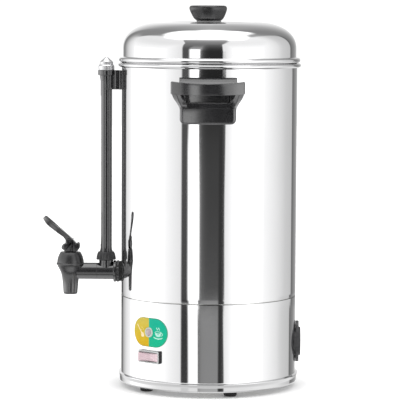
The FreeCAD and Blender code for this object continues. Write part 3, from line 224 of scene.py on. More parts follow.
CURTAIN_LIGHT = [
    (-1.6, 0.016), (0, 0.018), (4, 0.0232), (8, 0.0314), (12, 0.040), (16, 0.053), (20, 0.0614),
    (24, 0.075), (28, 0.11), (32, 0.125), (36, 0.140), (40, 0.157), (44, 0.186), (48, 0.25), (52, 0.38),
    (56, 0.56), (62, 0.62),
]
FOLD_HIGH = [(-1.6, 0.9), (0, 1.0), (4, 2.0), (16, 1.7), (24, 1.5), (29, 0), (62, 0)]
UPRIGHT_HIGH = [(-1.6, -26.2), (2, -26.2), (6, -26.2), (10, -25.5), (16, -22.0)]
CURTAIN_FOLD = [
    (-40, 0.14), (-12.5, 0.14), (-11, 0.11), (-10, 0.065), (-9, 0.042), (-8, 0.025), (-6, 0.0134),
    (-4, 0.005), (0, 0),
]
FOLD_LIMIT = [
    (0, 1), (4, 0.17), (8, 0.159), (12, 0.12), (16, 0.077), (20, 0.046), (24, 0.03), (28, 0), (62, 0),
]
CURTAIN_HEM = [(16, 0), (17.5, 0.008), (19, 0.024), (20.5, 0.05)]
UPRIGHT_LIGHT = [
    (-19, 0.38), (-13, 0.10), (-9.2, 0.026), (-7.6, 0.024), (-7.3, 0.040), (-5.5, 0.043), (-3.5, 0.048),
    (6, 0.053), (14, 0.075), (28, 0.12),
]
BACK_POLE = [(-7.6, 0.08), (-7.3, 0.03), (-1.7, 0.03), (-1.5, 0.13)]
FLOOR_LIGHT = [
    (-90, 0.62), (-64, 0.55), (-54, 0.24), (-48, 0.13), (-40, 0.25), (-36, 0.34), (-28, 0.42), (-19, 0.47),
]

world = bpy.data.worlds.new("tent")
scene.world = world
world.use_nodes = True
tent = world.node_tree
tent.nodes.clear()
parts = node("SeparateXYZ", (0, node("TexCoord", tree=tent).outputs["Generated"])).outputs
bearing = math_node("DEGREES", math_node("ARCTAN2", parts["Y"], parts["X"]))
bearing = minus(bearing, math.degrees(CAMERA_AZIMUTH))
rise = math_node("DEGREES", math_node("ARCSINE", parts["Z"]))


def beyond(value, edge, soft):
    """A soft step from 0 to 1 as a value passes an edge."""
    return step_node(minus(value, edge), math_node("MULTIPLY", soft, -1.0, tree=tent), soft)


def within(low, high, soft, soft_high=None):
    """One where the bearing lies between two edges, with soft sides."""
    past = beyond(bearing, high, soft if soft_high is None else soft_high)
    return times(beyond(bearing, low, soft), minus(1.0, past))


def up_wall_and_lid(low, high):
    """A line graph for the rises that the wall mirrors, and another for those that the lid mirrors."""
    return blend_node(on_lid, graph_node(rise, low), graph_node(rise, high))


on_lid = step_node(rise, *ON_LID)
on_base = step_node(rise, *ON_BASE, 1.0, 0.0)
on_right, on_left = step_node(bearing, 100.0, 110.0), step_node(bearing, -110.0, -100.0, 1.0, 0.0)
turn_right = times(times(on_right, math_node("MAXIMUM", on_base, on_lid)), 5.0)
turn_left = times(times(on_left, on_lid), 6.0)
shifted = minus(plus(bearing, turn_right), turn_left)
limit = plus(graph_node(rise, WALL_LIMIT), step_node(bearing, 0.0, 40.0, 0.0, 0.04))
wall = math_node("MINIMUM", graph_node(shifted, WALL_LIGHT), limit)
pole = within(*[plus(turn_left, edge) for edge in POLE_EDGES], 3.0)
wall = blend_node(pole, wall, graph_node(rise, BACK_POLE))
wall = blend_node(beyond(shifted, CORNER, 1.4), wall, graph_node(shifted, CORNER_LIGHT))
arch_soft = graph_node(math_node("ABSOLUTE", bearing), ARCH_SOFT)
arch = beyond(rise, graph_node(bearing, ARCH_BOTTOM), arch_soft)
wall = blend_node(arch, wall, graph_node(bearing, ARCH_LIGHT))
wall = blend_node(step_node(rise, -19.0, -12.0, 1.0, 0.0), wall, graph_node(rise, FLOOR_LIGHT))

fold = times(graph_node(bearing, CURTAIN_FOLD), up_wall_and_lid(FOLD_LOW, FOLD_HIGH))
fold = math_node("MINIMUM", fold, graph_node(rise, FOLD_LIMIT))
strip = times(step_node(bearing, 11.4, 14.0), step_node(rise, -3.5, -2.0, 1.0, 0.0))
curtain = blend_node(strip, up_wall_and_lid(CURTAIN_LIGHT_LOW, CURTAIN_LIGHT), STRIP_LIGHT)
hem = times(graph_node(bearing, CURTAIN_HEM), step_node(rise, -3.2, -1.9, 1.0, 0.15))
curtain = plus(plus(curtain, fold), hem)
left = up_wall_and_lid(CURTAIN_LEFT_LOW, CURTAIN_LEFT)
right = up_wall_and_lid(CURTAIN_RIGHT_LOW, CURTAIN_RIGHT)
on_curtain = within(left, right, 0.9, step_node(rise, 20.0, 36.0, 0.9, 4.0))
over_gap = times(within(*GAP_EDGES, 1.2), step_node(rise, -1.0, 7.5))
on_curtain = times(math_node("MAXIMUM", on_curtain, over_gap), step_node(rise, *FLOOR_RISE))
wall = blend_node(on_curtain, wall, curtain)
upright = within(UPRIGHT_EDGE, up_wall_and_lid(UPRIGHT_LOW, UPRIGHT_HIGH), 1.3, 2.2)
upright = times(times(upright, step_node(rise, 22.0, 30.0, 1.0, 0.0)), step_node(rise, *FLOOR_RISE))
wall = blend_node(upright, wall, graph_node(rise, UPRIGHT_LIGHT))
wall = blend_node(beyond(rise, graph_node(bearing, ROOF_EDGE), 5.0), wall, 1.0)

lit = node("Background", ("Color", wall), ("Strength", TENT_STRENGTH))
seen = node("Background", ("Color", (1, 1, 1, 1)), ("Strength", FLOOR_GLOW), tree=tent)
first_look = node("LightPath", tree=tent).outputs["Is Camera Ray"]
mixed = node("MixShader", (0, first_look), (1, lit.outputs[0]), (2, seen.outputs[0]))
node("OutputWorld", ("Surface", mixed.outputs[0]))


# Floor: a wide matt white card, mottled, with a painted glow that is weaker close round the urn as a painted
# contact shadow. It is for the picture only, and the urn's steel mirrors the tent, not the card, as in a shop
# photograph.
FLOOR_HALF = 6000.0
# Painted contact shadow: between these radii from the axis the floor's painted glow rises from the first to
# the second strength.
CONTACT_SHADOW = (106.0 * MM, 146.0 * MM)
CONTACT_GLOW = (0.09, 0.38)
floor_mesh = bpy.data.meshes.new("floor")
floor_corners = np.array([(-1, -1, 0), (1, -1, 0), (1, 1, 0), (-1, 1, 0)]) * FLOOR_HALF * MM
floor_mesh.from_pydata(floor_corners.tolist(), [], [(0, 1, 2, 3)])
floor = bpy.data.objects.new("floor", floor_mesh)
scene.collection.objects.link(floor)
floor.visible_glossy = False


def new_finish(name, **values):
    """A material and its one Principled shader; the values go straight onto the shader's own sockets."""
    material = bpy.data.materials.new(name)
    material.use_nodes = True
    shader = material.node_tree.nodes["Principled BSDF"]
    for socket, value in values.items():
        shader.inputs[socket.replace("_", " ")].default_value = value
    return material, shader


def feed(shader, **outputs):
    """Links other nodes' outputs to a shader's sockets."""
    for socket, output in outputs.items():
        shader.id_data.links.new(output, shader.inputs[socket.replace("_", " ")])


def own_place(shader, stretch=(1.0, 1.0, 1.0)):
    """Object coordinates, stretched."""
    place = node("TexCoord", tree=shader.id_data).outputs["Object"]
    return node("Mapping", ("Vector", place), ("Scale", stretch)).outputs[0]


def own_parts(shader):
    """Object coordinates one by one."""
    return node("SeparateXYZ", (0, own_place(shader))).outputs


def speckle(shader, size, detail=3.0, stretch=(1.0, 1.0, 1.0)):
    """Noise with a grain of about size millimetres."""
    made = node("TexNoise", ("Vector", own_place(shader, stretch)), ("Scale", 1.0 / (size * MM)),
                ("Detail", detail), ("Roughness", 0.55))
    return made.outputs["Fac"]


def raise_by(shader, height, millimetres):
    """Bumps the surface by a height of 0 to 1."""
    bump = node("Bump", ("Height", height), ("Strength", 1.0), ("Distance", millimetres * MM))
    feed(shader, Normal=bump.outputs[0])


def hypotenuse(first, second):
    """The root of two values' squares added up."""
    return math_node("SQRT", plus(math_node("POWER", first, 2.0), math_node("POWER", second, 2.0)))


def table_finish():
    """Matt white card with a painted glow, weaker where the urn stands as a painted contact shadow."""
    material, shader = new_finish("painted_glow_card", Roughness=0.9, Specular_IOR_Level=0.1)
    place = own_parts(shader)
    # Painted light: the card glows, and glows less near the urn as a painted contact shadow.
    painted_glow = step_node(hypotenuse(place["X"], place["Y"]), *CONTACT_SHADOW, *CONTACT_GLOW)
    mottle = speckle(shader, 90.0)
    feed(shader, Emission_Strength=painted_glow, Base_Color=ramp_node(mottle, [(0.3, 0.88), (0.7, 0.90)]))
    return material


floor_mesh.materials.append(table_finish())


# Base shell: one drawn sheet of polished stainless steel with a stepped foot ring and a turned-in lip.
# Its top edge tucks up inside the tank and shows as a fine dark seam, darkened there by painted shade.
BODY_RADIUS = 110.0
SHEET = 0.8
SEAM_HEIGHT = 115.0
SKIRT_BOTTOM = 7.0
FOOT_RING_RADIUS = 112.5
FOOT_BEAD_RADIUS = 112.9
CREASE = SKIRT_BOTTOM + 6.6
BEAD_TOP = SKIRT_BOTTOM + 10.9
TURNS = 288
SKIRT_EDGE = 110.8
SKIRT_BEND = 111.6
SHARP = math.radians(35.0)


def apart(path):
    """A path without repeated points."""
    return path[np.r_[True, np.linalg.norm(np.diff(path, axis=0), axis=1) > 1e-4]]


def supported(path, support=0.4):
    """A path without repeated points, and with a point close to each end of its long runs."""
    path = apart(path)
    run = np.diff(path, axis=0)
    length = np.linalg.norm(run, axis=1, keepdims=True)
    inset = np.where(length > 4 * support, support / length, 0.0)
    both = np.stack([path[:-1], path[:-1] + run * inset, path[1:] - run * inset], axis=1).reshape(-1, 2)
    return apart(np.vstack([both, path[-1:]]))


def rounded(corners, cut, steps):
    """Outlines with their corners rounded. The rounding from A past the corner C to B is the parabola
    (1 - t)^2 A + 2 t (1 - t) C + t^2 B, and cut is how far back from a corner it starts and ends."""
    runs = [np.roll(corners, step, axis=-2) - corners for step in (1, -1)]
    start, end = [corners + run / np.linalg.norm(run, axis=-1, keepdims=True) * cut for run in runs]
    t = np.linspace(0, 1, steps)[:, None]
    start, corner, end = start[..., None, :], corners[..., None, :], end[..., None, :]
    curve = (1 - t) ** 2 * start + 2 * t * (1 - t) * corner + t ** 2 * end
    return curve.reshape(*corners.shape[:-2], -1, 2)


def soft_outline(corners, closed=True, steps=7, support=0.4, foot=0.0):
    """Straight runs between rounded corners. A corner is two coordinates, the second one above foot, and
    its cut. Long runs get a point close to each end, to keep them flat."""
    corners = np.array(corners, float) + (0, foot, 0)
    path = rounded(corners[:, :2], corners[:, 2:], steps)
    return supported(np.vstack([path, path[:1]]) if closed else path, support)


def points(*coordinates):
    """Grids of points from their coordinates, each given for all points, for a row, or as one value."""
    return np.stack(np.broadcast_arrays(*coordinates), axis=-1)


def turned(path, centre=(0.0, 0.0, 0.0), axis="Z", turns=TURNS, ribs=0, rib_depth=0.0):
    """Revolves a path of radius and height about an axis: (r cos a, r sin a, h). Ribs make the radius
    swell and shrink by rib_depth with cos(ribs a), only where the path is far from the axis."""
    angle = np.linspace(0, 2 * np.pi, turns + 1)
    radius, height = path[:, 0:1], path[:, 1:2]
    reach = np.clip(radius / radius.max() * 4 - 3, 0, 1)
    radius = radius - reach * rib_depth * (0.5 - 0.5 * np.cos(ribs * angle))
    ring = points(radius * np.cos(angle), radius * np.sin(angle), height)
    return ring[..., {"X": [2, 0, 1], "Y": [0, 2, 1], "Z": [0, 1, 2]}[axis]] + np.array(centre)


def shown(name, mesh, weld, outwards):
    """Shows a mesh with points welded that fall together, its faces turned outwards if need be, and its
    edges smooth up to SHARP degrees."""
    work = bmesh.new()
    work.from_mesh(mesh)
    bmesh.ops.remove_doubles(work, verts=work.verts, dist=weld)
    if outwards:
        bmesh.ops.recalc_face_normals(work, faces=work.faces)
    work.to_mesh(mesh)
    work.free()
    mesh.shade_smooth()
    mesh.set_sharp_from_angle(angle=SHARP)
    made = bpy.data.objects.new(name, mesh)
    scene.collection.objects.link(made)
    return made


def piece(name, *grids, caps=()):
    """One mesh over grids of points: rows along the piece, columns around it, a quad between each four.
    Caps are rings of points that close a flat end. Welding closes seams and poles."""
    places, faces, count = [], [], 0
    for grid in grids:
        rows, columns = grid.shape[:2]
        index = count + np.arange(rows * columns).reshape(rows, columns)
        corners = (index[:-1, :-1], index[:-1, 1:], index[1:, 1:], index[1:, :-1])
        faces += np.stack(corners, axis=-1).reshape(-1, 4).tolist()
        places.append(grid.reshape(-1, 3) * MM)
        count += rows * columns
    for ring in caps:
        faces.append(list(range(count, count + len(ring))))
        places.append(ring * MM)
        count += len(ring)
    mesh = bpy.data.meshes.new(name)
    mesh.from_pydata(np.vstack(places).tolist(), [], faces)
    return shown(name, mesh, 3e-6, outwards=True)


def fit(made, finish, body, slot, *nodes):
    """Gives a piece its finish, the body that carries it, and the solids it stands for. The slot is not used.
    """
    made.data.materials.append(finish)
    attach(made, body)
    if nodes:
        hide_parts(*nodes)
    return made


def fit_piece(solid, kind, finish, slot, *grids, body="urn", caps=()):
    """A piece over grids that stands for one solid, and is named after it and what it is made of."""
    return fit(piece(f"{solid}_{kind}", *grids, caps=caps), finish, body, slot, solid)


def polished_finish(name, colour, roughness, smear, ripple, seam_shade_from=None, film_within=None):
    """Buffed stainless steel: a mirror with faint wiping smears, level polishing lines and a slow ripple
    left by the rolls. Above a height it can be painted near black, a painted shade for a seam's gap, and
    nearer the axis than a radius it can be dull with a film of scale."""
    material, shader = new_finish(name, Metallic=1.0)
    smears = speckle(shader, 26.0, 5.0, (1.0, 1.0, 0.35))
    lines = speckle(shader, 0.7, 2.0, (0.06, 0.06, 1.0))
    wear = mix_node(0.4, smears, lines)
    rough = step_node(wear, 0.35, 0.70, roughness, roughness + smear)
    worn = tuple(0.97 * part for part in colour)
    sheen = ramp_node(smears, [(0.30, colour), (0.75, worn)])
    if film_within:
        place = own_parts(shader)
        out = hypotenuse(place["X"], place["Y"])
        film = step_node(out, (film_within - 0.1) * MM, film_within * MM, 1.0, 0.0)
        scale = ramp_node(wear, [(0.35, (0.70, 0.70, 0.69)), (0.70, (0.52, 0.52, 0.51))])
        rough, sheen = blend_node(film, rough, 0.40), mix_node(film, sheen, scale)
        feed(shader, Metallic=minus(1.0, times(film, 0.55)))
    # Painted shade: above the height the steel turns near black, standing in for the shade in the seam's gap.
    if seam_shade_from:
        seam_shade = step_node(own_parts(shader)["Z"], (seam_shade_from - 0.05) * MM, seam_shade_from * MM)
        sheen = mix_node(seam_shade, sheen, (0.03, 0.03, 0.03, 1))
    feed(shader, Roughness=rough, Base_Color=sheen)
    raise_by(shader, speckle(shader, 70.0, 1.0), ripple)
    return material


mirror = ((0.72, 0.72, 0.725), 0.035, 0.03, 0.02)
polished_steel = polished_finish("polished_steel", *mirror)
# The seam's upstand carries the painted shade of the gap.
seam_steel = polished_finish("polished_steel_seam", *mirror, seam_shade_from=SEAM_HEIGHT - 0.3)

base_inner = BODY_RADIUS - SHEET
upstand = BODY_RADIUS - 2.0
base_lip = FOOT_RING_RADIUS - 8.5
base_profile = soft_outline([
    (base_lip, SKIRT_BOTTOM, 0.2), (SKIRT_EDGE, SKIRT_BOTTOM, 0.5), (SKIRT_BEND, SKIRT_BOTTOM + 0.9, 0.8),
    (112.05, CREASE - 0.6, 0.5), (112.25, CREASE + 0.4, 0.4), (FOOT_BEAD_RADIUS - 0.05, CREASE + 2.9, 0.2),
    (FOOT_BEAD_RADIUS, CREASE + 3.7, 0.3), (112.6, BEAD_TOP - 0.5, 0.6), (110.6, BEAD_TOP + 0.1, 0.4),
    (BODY_RADIUS, BEAD_TOP + 0.4, 0.3), (BODY_RADIUS, SEAM_HEIGHT, 0.5), (upstand, SEAM_HEIGHT, 0.2),
    (upstand, SEAM_HEIGHT + 4.0, 0.1), (upstand - SHEET, SEAM_HEIGHT + 4.0, 0.1),
    (upstand - SHEET, SEAM_HEIGHT - SHEET, 0.2), (base_inner, SEAM_HEIGHT - SHEET, 0.2),
    (base_inner, BEAD_TOP - SHEET, 0.3), (FOOT_RING_RADIUS - SHEET, BEAD_TOP - SHEET, 0.5),
    (FOOT_RING_RADIUS - SHEET, CREASE, 0.4), (SKIRT_BEND - SHEET, SKIRT_BOTTOM + 1.3, 0.5),
    (SKIRT_EDGE - SHEET, SKIRT_BOTTOM + SHEET, 0.3), (base_lip, SKIRT_BOTTOM + SHEET, 0.2),
])
fit_piece("base_shell", "steel", seam_steel, "polished_steel", turned(base_profile))


# Bottom closing: a punched plate drawn up by three tie rods with nuts, on five rubber bumper feet.
# The plate is satin sheet, the fixings are zinc plated, and each foot is held by its own screw.
FOOT_COUNT = 5
FOOT_CIRCLE = 93.0
FOOT_RADIUS = 8.7
FOOT_RECESS = 4.2


def eased_copy(name, edge):
    """A copy of a solid's mesh with its loose triangles merged, its curves smooth and its edges eased."""
    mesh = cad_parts[name].data.copy()
    mesh.materials.clear()
    made = shown(name + "_made", mesh, 1e-6, outwards=False)
    if edge:
        bevel = made.modifiers.new("eased", "BEVEL")
        bevel.width = edge * MM
        bevel.segments = 2
        bevel.angle_limit = SHARP
        bevel.use_clamp_overlap = True
        bevel.harden_normals = True
    return made


def fit_copies(finish, slot, *solids, body="urn", edge=0.2):
    """Pieces whose solids have all their form: a copy of each. Returns the last one."""
    for solid in solids:
        made = fit(eased_copy(solid, edge), finish, body, slot, solid)
    return made


def satin_finish(name, colour, dark, roughness, grain, metallic=1.0, depth=0.01):
    """Worked metal: cloudy colour between two tones, and a fine grain that roughens it."""
    material, shader = new_finish(name, Metallic=metallic)
    cloud, fine = speckle(shader, 14.0, 6.0), speckle(shader, grain, 4.0)
    rough = step_node(fine, 0.2, 0.8, roughness * 0.75, roughness * 1.25)
    feed(shader, Base_Color=ramp_node(cloud, [(0.30, dark), (0.70, colour)]), Roughness=rough)
    raise_by(shader, fine, depth)
    return material


def rubber_finish():
    """Black rubber: matt, dusty in the hollows, with a fine moulded grain."""
    material, shader = new_finish("black_rubber", Roughness=0.8, Specular_IOR_Level=0.35)
    feed(shader, Base_Color=ramp_node(speckle(shader, 5.0, 6.0), [(0.35, 0.012), (0.75, 0.030)]))
    raise_by(shader, speckle(shader, 0.5), 0.03)
    return material


plain_steel = satin_finish("plain_steel", (0.60, 0.60, 0.59), (0.50, 0.50, 0.49), 0.26, 0.4)
zinc_steel = satin_finish("zinc_steel", (0.55, 0.56, 0.60), (0.47, 0.46, 0.42), 0.34, 0.8)
black_rubber = rubber_finish()

fit_copies(zinc_steel, "zinc_steel", "base_plate")
fit_copies(zinc_steel, "zinc_steel", "tie_rods", "tie_nuts", "foot_screws", edge=0.15)

foot_path = soft_outline([
    (2.1, 4.6, 0.1), (FOOT_RECESS, 4.6, 0.3), (FOOT_RECESS, 0.0, 0.5), (7.2, 0.0, 1.0), (7.9, 1.2, 0.6),
    (FOOT_RADIUS, SKIRT_BOTTOM + SHEET, 0.3), (2.1, SKIRT_BOTTOM + SHEET, 0.1),
])
foot_angles = np.radians(90 + 360 / FOOT_COUNT * np.arange(FOOT_COUNT))
foot_places = points(FOOT_CIRCLE * np.cos(foot_angles), FOOT_CIRCLE * np.sin(foot_angles), 0)
feet = [turned(foot_path, place, turns=48) for place in foot_places]
fit_piece("feet", "rubber", black_rubber, "black_rubber", *feet)


# Heating set: a cast disc heater clamped into the floor's well, a sheathed warming ring, two bimetal
# switches, and a ceramic block with heat-proof wires. It all hangs under the tank's floor.
aluminium = satin_finish("heater_aluminium", (0.62, 0.62, 0.61), (0.50, 0.50, 0.50), 0.45, 0.9, depth=0.04)
heater_sheath = satin_finish("heater_sheath", (0.30, 0.29, 0.28), (0.16, 0.13, 0.11), 0.42, 0.6)
ivory = satin_finish("terminal_ivory", (0.72, 0.66, 0.52), (0.62, 0.55, 0.42), 0.42, 0.5, metallic=0.0)
insulation = satin_finish("wire_insulation", (0.62, 0.60, 0.56), (0.50, 0.47, 0.43), 0.48, 0.3, metallic=0.0)

fit_copies(aluminium, "heater_aluminium", "main_heater")
fit_copies(plain_steel, "plain_steel", "brew_thermostat", "boil_dry_cutout")
fit_copies(heater_sheath, "heater_sheath", "warming_heater", edge=0)
fit_copies(zinc_steel, "zinc_steel", "heater_clamp", "clamp_studs", "clamp_nuts", edge=0.15)
fit_copies(ivory, "terminal_ivory", "terminal_block")
fit_copies(insulation, "wire_insulation", "wiring", edge=0)


# Tank: one rolled and welded sheet of the same steel, with its rim curled outwards into a bead, and a
# pressed floor with a deep well in the middle, welded in just above the seam.
RIM_TOP = 406.6
RIM_CURL = 2.7
TANK_BOTTOM = SEAM_HEIGHT + 0.95
FLOOR_HEIGHT = 122.0
WELL_RADIUS = 24.0
WELL_BOTTOM = 112.0


def arc(centre, radius, start, end, steps=40):
    """Points of a circle, or of an ellipse if radius is a pair, between two angles in degrees:
    centre + radius (cos a, sin a)."""
    angle = np.radians(np.linspace(start, end, steps))
    return np.array(centre) + np.array(radius) * points(np.cos(angle), np.sin(angle))


curl_centre = (base_inner + RIM_CURL, RIM_TOP - RIM_CURL)
roll = np.linspace(0, 1, 9)
tank_outline = supported(np.vstack([
    [(base_inner, TANK_BOTTOM)],
    arc(curl_centre, RIM_CURL, 180, -75, 24),
    arc(curl_centre, RIM_CURL - SHEET, -75, 180, 24),
    points(BODY_RADIUS - 0.13 * roll ** 2.2, TANK_BOTTOM + 4.6 - 4.5 * roll),
    [(BODY_RADIUS - 0.3, TANK_BOTTOM), (base_inner, TANK_BOTTOM)],
]))
tank_steel = polished_finish("polished_steel_tank", *mirror, film_within=BODY_RADIUS - SHEET / 2)
fit_piece("tank_shell", "steel", tank_steel, "polished_steel", turned(tank_outline))

floor_under = FLOOR_HEIGHT - 1.0
floor_edge = BODY_RADIUS - 2 * SHEET
floor_outline = soft_outline([
    (0, WELL_BOTTOM, 0), (WELL_RADIUS, WELL_BOTTOM, 2.0), (WELL_RADIUS, floor_under, 0.3),
    (floor_edge, floor_under, 0.8), (floor_edge, SEAM_HEIGHT, 0.1), (base_inner, SEAM_HEIGHT, 0.1),
    (base_inner, FLOOR_HEIGHT, 0.6), (WELL_RADIUS - 1.0, FLOOR_HEIGHT, 0.8),
    (WELL_RADIUS - 1.0, WELL_BOTTOM + 1.0, 1.6), (0, WELL_BOTTOM + 1.0, 0),
], closed=False)
fit_piece("tank_floor", "steel", plain_steel, "plain_steel", turned(floor_outline))


# Carry handles: one black moulding each, with a panel on the wall, two flared arms and a bowed grip.
# Two screws from inside the tank go into brass inserts in the panel. The far one is the same, turned round.
HANDLE_REACH = 150.0
HANDLE_HALF_WIDTH = 44.6
HANDLE_BOTTOM = 335.5
PANEL_FRONT = 126.4
PANEL_HALF = 34.0
PANEL_DRAFT = 0.3
PANEL_BACK = 109.6
PANEL_BEND = 229.0
PANEL_SKEW = 9.6
GRIP_BOTTOM = 371.5
GRIP_TOP = 384.8
GRIP_SMILE = 3.0
GRIP_BOW = 104.0
GRIP_DEPTH = 10.0
NECK_HALF = 24.5
NECK_EDGE = 25.1 - NECK_HALF
NECK_TOP = 381.2
FLANGE_TOP = 391.3


def eased_ends(length, radius, steps=7, middle=24):
    """Places along a length, close together at both ends, and how far the outline draws in at each,
    following a quarter circle: radius - sqrt(radius^2 - (radius - t)^2)."""
    t = radius * (1 - np.cos(np.linspace(0, np.pi / 2, steps)))
    inner = np.linspace(radius, length - radius, middle)[1:-1]
    places = np.concatenate([t, inner, length - t[::-1]])
    near = np.clip(radius - np.minimum(places, length - places), 0, radius)
    return places, radius - np.sqrt(np.maximum(radius ** 2 - near ** 2, 0))


def filled(section, steps, fill):
    """Closes level outlines, and puts more points on the straight runs between their rounded corners, each
    of which has a number of steps: the share of the way from one point to the next, for whole rows."""
    section = np.concatenate([section, section[:, :1]], axis=1)
    last = section.shape[1] - 1
    corner = np.arange(0, last, steps)[:, None]
    inner = corner + steps - 1 + np.linspace(0, 1, fill + 2)[None, 1:-1]
    place = np.append(np.concatenate([corner + np.arange(steps)[None], inner], axis=1).ravel(), last)
    index = np.minimum(place.astype(int), last - 1)
    share = (place - index)[None, :, None]
    return section[:, index] * (1 - share) + section[:, index + 1] * share


def round_section(half_wide, half_high, radius, steps=7, fill=0):
    """Rectangles with rounded corners, one per row: each corner is its centre + radius (cos a, sin a)."""
    wide, high = np.broadcast_arrays(np.atleast_1d(half_wide), half_high)
    bend = np.minimum(np.minimum(wide, high), radius)[:, None, None]
    quarter = np.array([0, 1, 2, 3])[None, :, None]
    angle = np.linspace(0, np.pi / 2, steps)[None, None, :] + quarter * np.pi / 2
    across = np.array([1, -1, -1, 1])[None, :, None] * (wide[:, None, None] - bend) + bend * np.cos(angle)
    up = np.array([1, 1, -1, -1])[None, :, None] * (high[:, None, None] - bend) + bend * np.sin(angle)
    return filled(points(across, up).reshape(len(wide), -1, 2), steps, fill)


def closed(grid):
    """Rows of a grid with a point added at each end, in the middle of the end row."""
    middles = [row.mean(axis=1, keepdims=True) for row in (grid[:1], grid[-1:])]
    first, last = [np.repeat(middle, grid.shape[1], axis=1) for middle in middles]
    return np.concatenate([first, grid, last])


def on_drum(radius, across, height):
    """Points at a radius from the urn's axis and a sideways place: x = sqrt(radius^2 - across^2)."""
    return points(np.sqrt(radius ** 2 - across ** 2), across, height)


def followed(place, line):
    """A line's value at each place, with each value replaced by the mean of the five around it."""
    value = np.interp(place, *zip(*line))
    return np.convolve(np.pad(value, 2, "edge"), np.ones(5) / 5, "valid")


def handle_grip():
    """Sections stand along the grip, which is bowed a little more tightly than the drum; its top and
    bottom edges curve up to the ends by parabolas."""
    places, draw = eased_ends(2 * HANDLE_HALF_WIDTH, 1.8, middle=60)
    across = places - HANDLE_HALF_WIDTH
    smile = (across / HANDLE_HALF_WIDTH) ** 2
    low, high = GRIP_BOTTOM + 0.7 * smile, GRIP_TOP + GRIP_SMILE * smile
    section = round_section(GRIP_DEPTH / 2 - draw, (high - low) / 2 - draw, 0.35, fill=3)
    radius = GRIP_BOW - GRIP_DEPTH / 2 + section[..., 0]
    height = ((low + high) / 2)[:, None] + section[..., 1]
    return closed(on_drum(radius, across[:, None], height) + (HANDLE_REACH - GRIP_BOW, 0, 0))


ARM_HEIGHTS = (345.0, 381.5)
ARM_LINES = [
    [(345, 125.4), (355, 125.7), (357.4, 126.3), (359.4, 128.2), (362.8, 133.2), (366.6, 138.4),
     (370.4, 143.0), (374.6, 146.6), (382, 147.6)],
    [(345, 25.0), (359, 25.0), (361, 25.6), (362.8, 27.8), (366.6, 31.0), (370.4, 32.4), (375, 33.4),
     (382, 34.0)],
    [(345, 31.2), (354.9, 31.6), (359.2, 33.2), (362.8, 35.2), (366.6, 36.0), (370.4, 36.6), (374.4, 39.6),
     (382, 41.6)],
    [(345, 33.7), (352, 34.2), (356, 35.6), (359.2, 37.2), (362.8, 39.6), (366.6, 41.9), (370.4, 43.5),
     (374, 44), (382, 44)],
    [(345, 113), (356, 114), (362.8, 122), (370.4, 134), (375, 139), (382, 140.5)],
    [(345, 110.4), (370.5, 110.4), (374, 116), (378, 130), (382, 139.5)],
]
WEB_REACH = (110.0, 139.5)
WEB_FACE = 127.0


def handle_arm(side):
    """Level sections up the arm, each with seven corners: a front that leans out to the grip, a side that
    goes back, and a web to the wall with a broad face beside the neck. A line gives each corner's place
    over the height."""
    height = np.linspace(*ARM_HEIGHTS, 48)
    front, front_in, front_out, side_out, side_at, wall_at = [followed(height, line) for line in ARM_LINES]
    wall_in = np.interp(wall_at, WEB_REACH, (26.9, 34.0))
    face_at = np.minimum(np.maximum(WEB_FACE, wall_at + 3.5), front - 1.2)
    wall_out = np.minimum(side_out, np.interp(wall_at, WEB_REACH, (33.6, 43.0)))
    corners = np.stack([points(*pair) for pair in (
        (front, front_in), (front, front_out), (side_at, side_out), (wall_at, wall_out), (wall_at, wall_in),
        (face_at - 0.5, wall_in + 0.1), (face_at, np.maximum(front_in - 0.3, wall_in + 1.0)))], axis=1)
    cut = np.array([0.7, 1.4, 1.4, 0.8, 0.5, 0.3, 0.5])[:, None]
    section = filled(rounded(corners, cut, 5), 5, 4)
    return closed(on_drum(section[..., 0], side * section[..., 1], height[:, None]))


def flattened(radius, across, height, inner, outer):
    """On the drum, but flatter at the outside and a little askew: from the inner to the outer radius it comes
    to move out by across^2 / 2 r - ((across - a)^2 - a^2) / 2 b, with b the radius of the flatter bend."""
    out = across ** 2 / (2 * outer) - ((across - PANEL_SKEW) ** 2 - PANEL_SKEW ** 2) / (2 * PANEL_BEND)
    out *= np.clip((radius - inner) / (outer - inner), 0, 1)
    return on_drum(radius, across, height) + points(out, 0, 0)


def handle_panel():
    """Sections lie level, one above the other: the foot draws in round its lower corners, and the top leans
    back under the grip as a ledge, with a drain groove behind its edge."""
    rows = np.array([
        (0.0, -6.4, 123.4), (0.2, -5.0, 124.6), (0.5, -4.0, 125.5), (1.0, -3.0, 126.1),
        (1.8, -1.9, PANEL_FRONT), (3.0, -0.9, PANEL_FRONT), (4.4, -0.3, PANEL_FRONT),
        (6.0, 0.0, PANEL_FRONT), (12.0, 0.0, PANEL_FRONT), (18.6, 0.0, PANEL_FRONT), (19.2, 0.0, 126.3),
        (19.7, -0.1, 126.0), (20.4, -0.4, 125.6), (23.0, -1.6, 124.4), (25.2, -2.6, 123.4),
        (25.64, -2.8, 123.17), (25.74, -2.85, 123.12), (25.8, -2.9, 123.07), (25.74, -2.95, 123.0),
        (25.2, -3.7, 122.4), (22.8, -4.2, 119.6), (22.4, -5.0, 114.6),
    ]) + (HANDLE_BOTTOM, PANEL_HALF, 0)
    height, half, front = rows.T[:, :, None]
    section = round_section((front[:, 0] - PANEL_BACK) / 2, half[:, 0], 3.4, 9, 26)
    radius = (front + PANEL_BACK) / 2 + section[..., 0]
    widened = section[..., 1] * (1 + PANEL_DRAFT / PANEL_HALF * (front - radius) / (PANEL_FRONT - PANEL_BACK))
    return closed(flattened(radius, widened, height, 112.0, 122.0))


